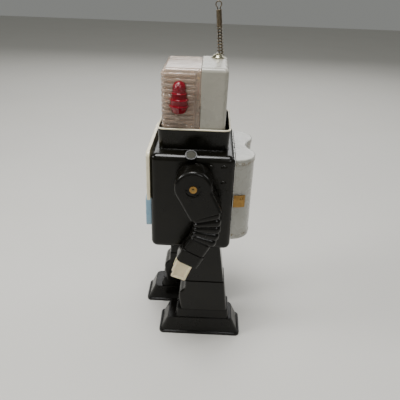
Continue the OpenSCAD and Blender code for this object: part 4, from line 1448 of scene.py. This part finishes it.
class ROBOT_OT_stage(bpy.types.Operator):
    """Set the pale floor, the soft lights and the camera"""
    bl_idname = "robot.stage"
    bl_label = "Stage"

    # The view: a lens on a sensor, its turns, and its place in mm
    LENS = 39.42
    SENSOR = 36
    PITCH = math.radians(27.92)
    ROLL = math.radians(2.08)
    YAW = math.radians(-0.89)
    EYE = (397.7, 13.2, 353.4)
    # Each light's name, place, watts, width and height, all turned towards the chest
    LAMPS = (
        ("overhead", (0.12, -0.1, 1.1), 11, 0.4, 0.4),
        ("front_window", (0.25, -1.0, 0.75), 8, 0.35, 0.35),
        ("near_fill", (1.2, 0.5, 1.0), 4, 0.4, 0.4),
        ("back_rim", (-0.5, 1.0, 0.8), 3, 0.5, 0.5),
        ("far_wall", (-1.25, 0, 0.85), 10, 1.7, 0.7),
    )
    LIT = Vector((0, 0, 0.16))

    def execute(self, context):
        self.floor()
        self.lights(context)
        self.camera(context)
        return {"FINISHED"}

    def floor(self):
        start_clean()
        bpy.ops.mesh.primitive_plane_add(size=6, location=(0, 0, 0))
        floor = christen("floor")
        paper = Finish("pale_floor", (0.60, 0.585, 0.545), 0.55)
        paper.blend_colour(paper.ramp(paper.noise(6, 3), 0.4, 0.7, 0, 0.3), (0.55, 0.535, 0.495))
        floor.data.materials.append(paper.material)

    def lights(self, context):
        world = context.scene.world or bpy.data.worlds.new("soft_room")
        context.scene.world = world
        world.use_nodes = True
        backdrop = world.node_tree.nodes["Background"]
        backdrop.inputs["Color"].default_value = (0.86, 0.88, 0.84, 1)
        backdrop.inputs["Strength"].default_value = 0.26
        for name, place, energy, width, height in self.LAMPS:
            light = bpy.data.lights.new(name, "AREA")
            light.shape = "RECTANGLE"
            light.size, light.size_y = width, height
            light.energy = energy
            lamp = bpy.data.objects.new(name, light)
            context.collection.objects.link(lamp)
            lamp.location = place
            lamp.rotation_euler = (self.LIT - Vector(place)).to_track_quat("-Z", "Y").to_euler()

    def camera(self, context):
        reach = math.cos(self.PITCH)
        forward = Vector((-math.cos(self.YAW) * reach, math.sin(self.YAW) * reach, -math.sin(self.PITCH)))
        level = Vector((math.sin(self.YAW), math.cos(self.YAW), 0))
        down = forward.cross(level)
        right = math.cos(self.ROLL) * level - math.sin(self.ROLL) * down
        below = math.sin(self.ROLL) * level + math.cos(self.ROLL) * down
        lens = bpy.data.cameras.new("view")
        lens.sensor_width = self.SENSOR
        lens.lens = self.LENS
        lens.clip_start, lens.clip_end = 0.01, 20
        camera = bpy.data.objects.new("view", lens)
        context.collection.objects.link(camera)
        turn = Matrix((right, -below, -forward)).transposed()
        camera.matrix_world = Matrix.Translation((Vector(self.EYE) + SHIFT) * MM) @ turn.to_4x4()
        context.scene.camera = camera


class ROBOT_PT_panel(bpy.types.Panel):
    """Lists the robot's pieces in the sidebar"""
    bl_label = "Walking tin robot"
    bl_idname = "ROBOT_PT_panel"
    bl_space_type = "VIEW_3D"
    bl_region_type = "UI"
    bl_category = "Robot"

    def draw(self, context):
        for group in GROUPS:
            box = self.layout.box()
            for name in GROUPS[group].__annotations__:
                box.prop(getattr(context.scene, group), name)
        for maker in MAKERS:
            self.layout.operator(maker.bl_idname)


GROUPS = {
    "robot_colours": RobotColours,
    "robot_chest": RobotChest,
    "robot_head": RobotHead,
    "robot_arm": RobotArm,
    "robot_leg": RobotLeg,
    "robot_case": RobotCase,
}
MAKERS = (
    ROBOT_OT_stage, ROBOT_OT_frame_finishes, ROBOT_OT_chest, ROBOT_OT_front_panel, ROBOT_OT_collar,
    ROBOT_OT_head, ROBOT_OT_beacons, ROBOT_OT_aerial, ROBOT_OT_screen, ROBOT_OT_knob, ROBOT_OT_case,
    ROBOT_OT_arms, ROBOT_OT_legs, ROBOT_OT_fixings,
)


def register():
    for cls in (*GROUPS.values(), *MAKERS, ROBOT_PT_panel):
        bpy.utils.register_class(cls)
    for name, group in GROUPS.items():
        setattr(bpy.types.Scene, name, bpy.props.PointerProperty(type=group))


def unregister():
    for name in GROUPS:
        delattr(bpy.types.Scene, name)
    for cls in (ROBOT_PT_panel, *reversed(MAKERS), *GROUPS.values()):
        bpy.utils.unregister_class(cls)


def main():
    register()
    FINISHES.update(make_finishes(bpy.context.scene.robot_colours))
    for maker in MAKERS:
        group, action = maker.bl_idname.split(".")
        getattr(getattr(bpy.ops, group), action)()


if __name__ == "__main__":
    main()
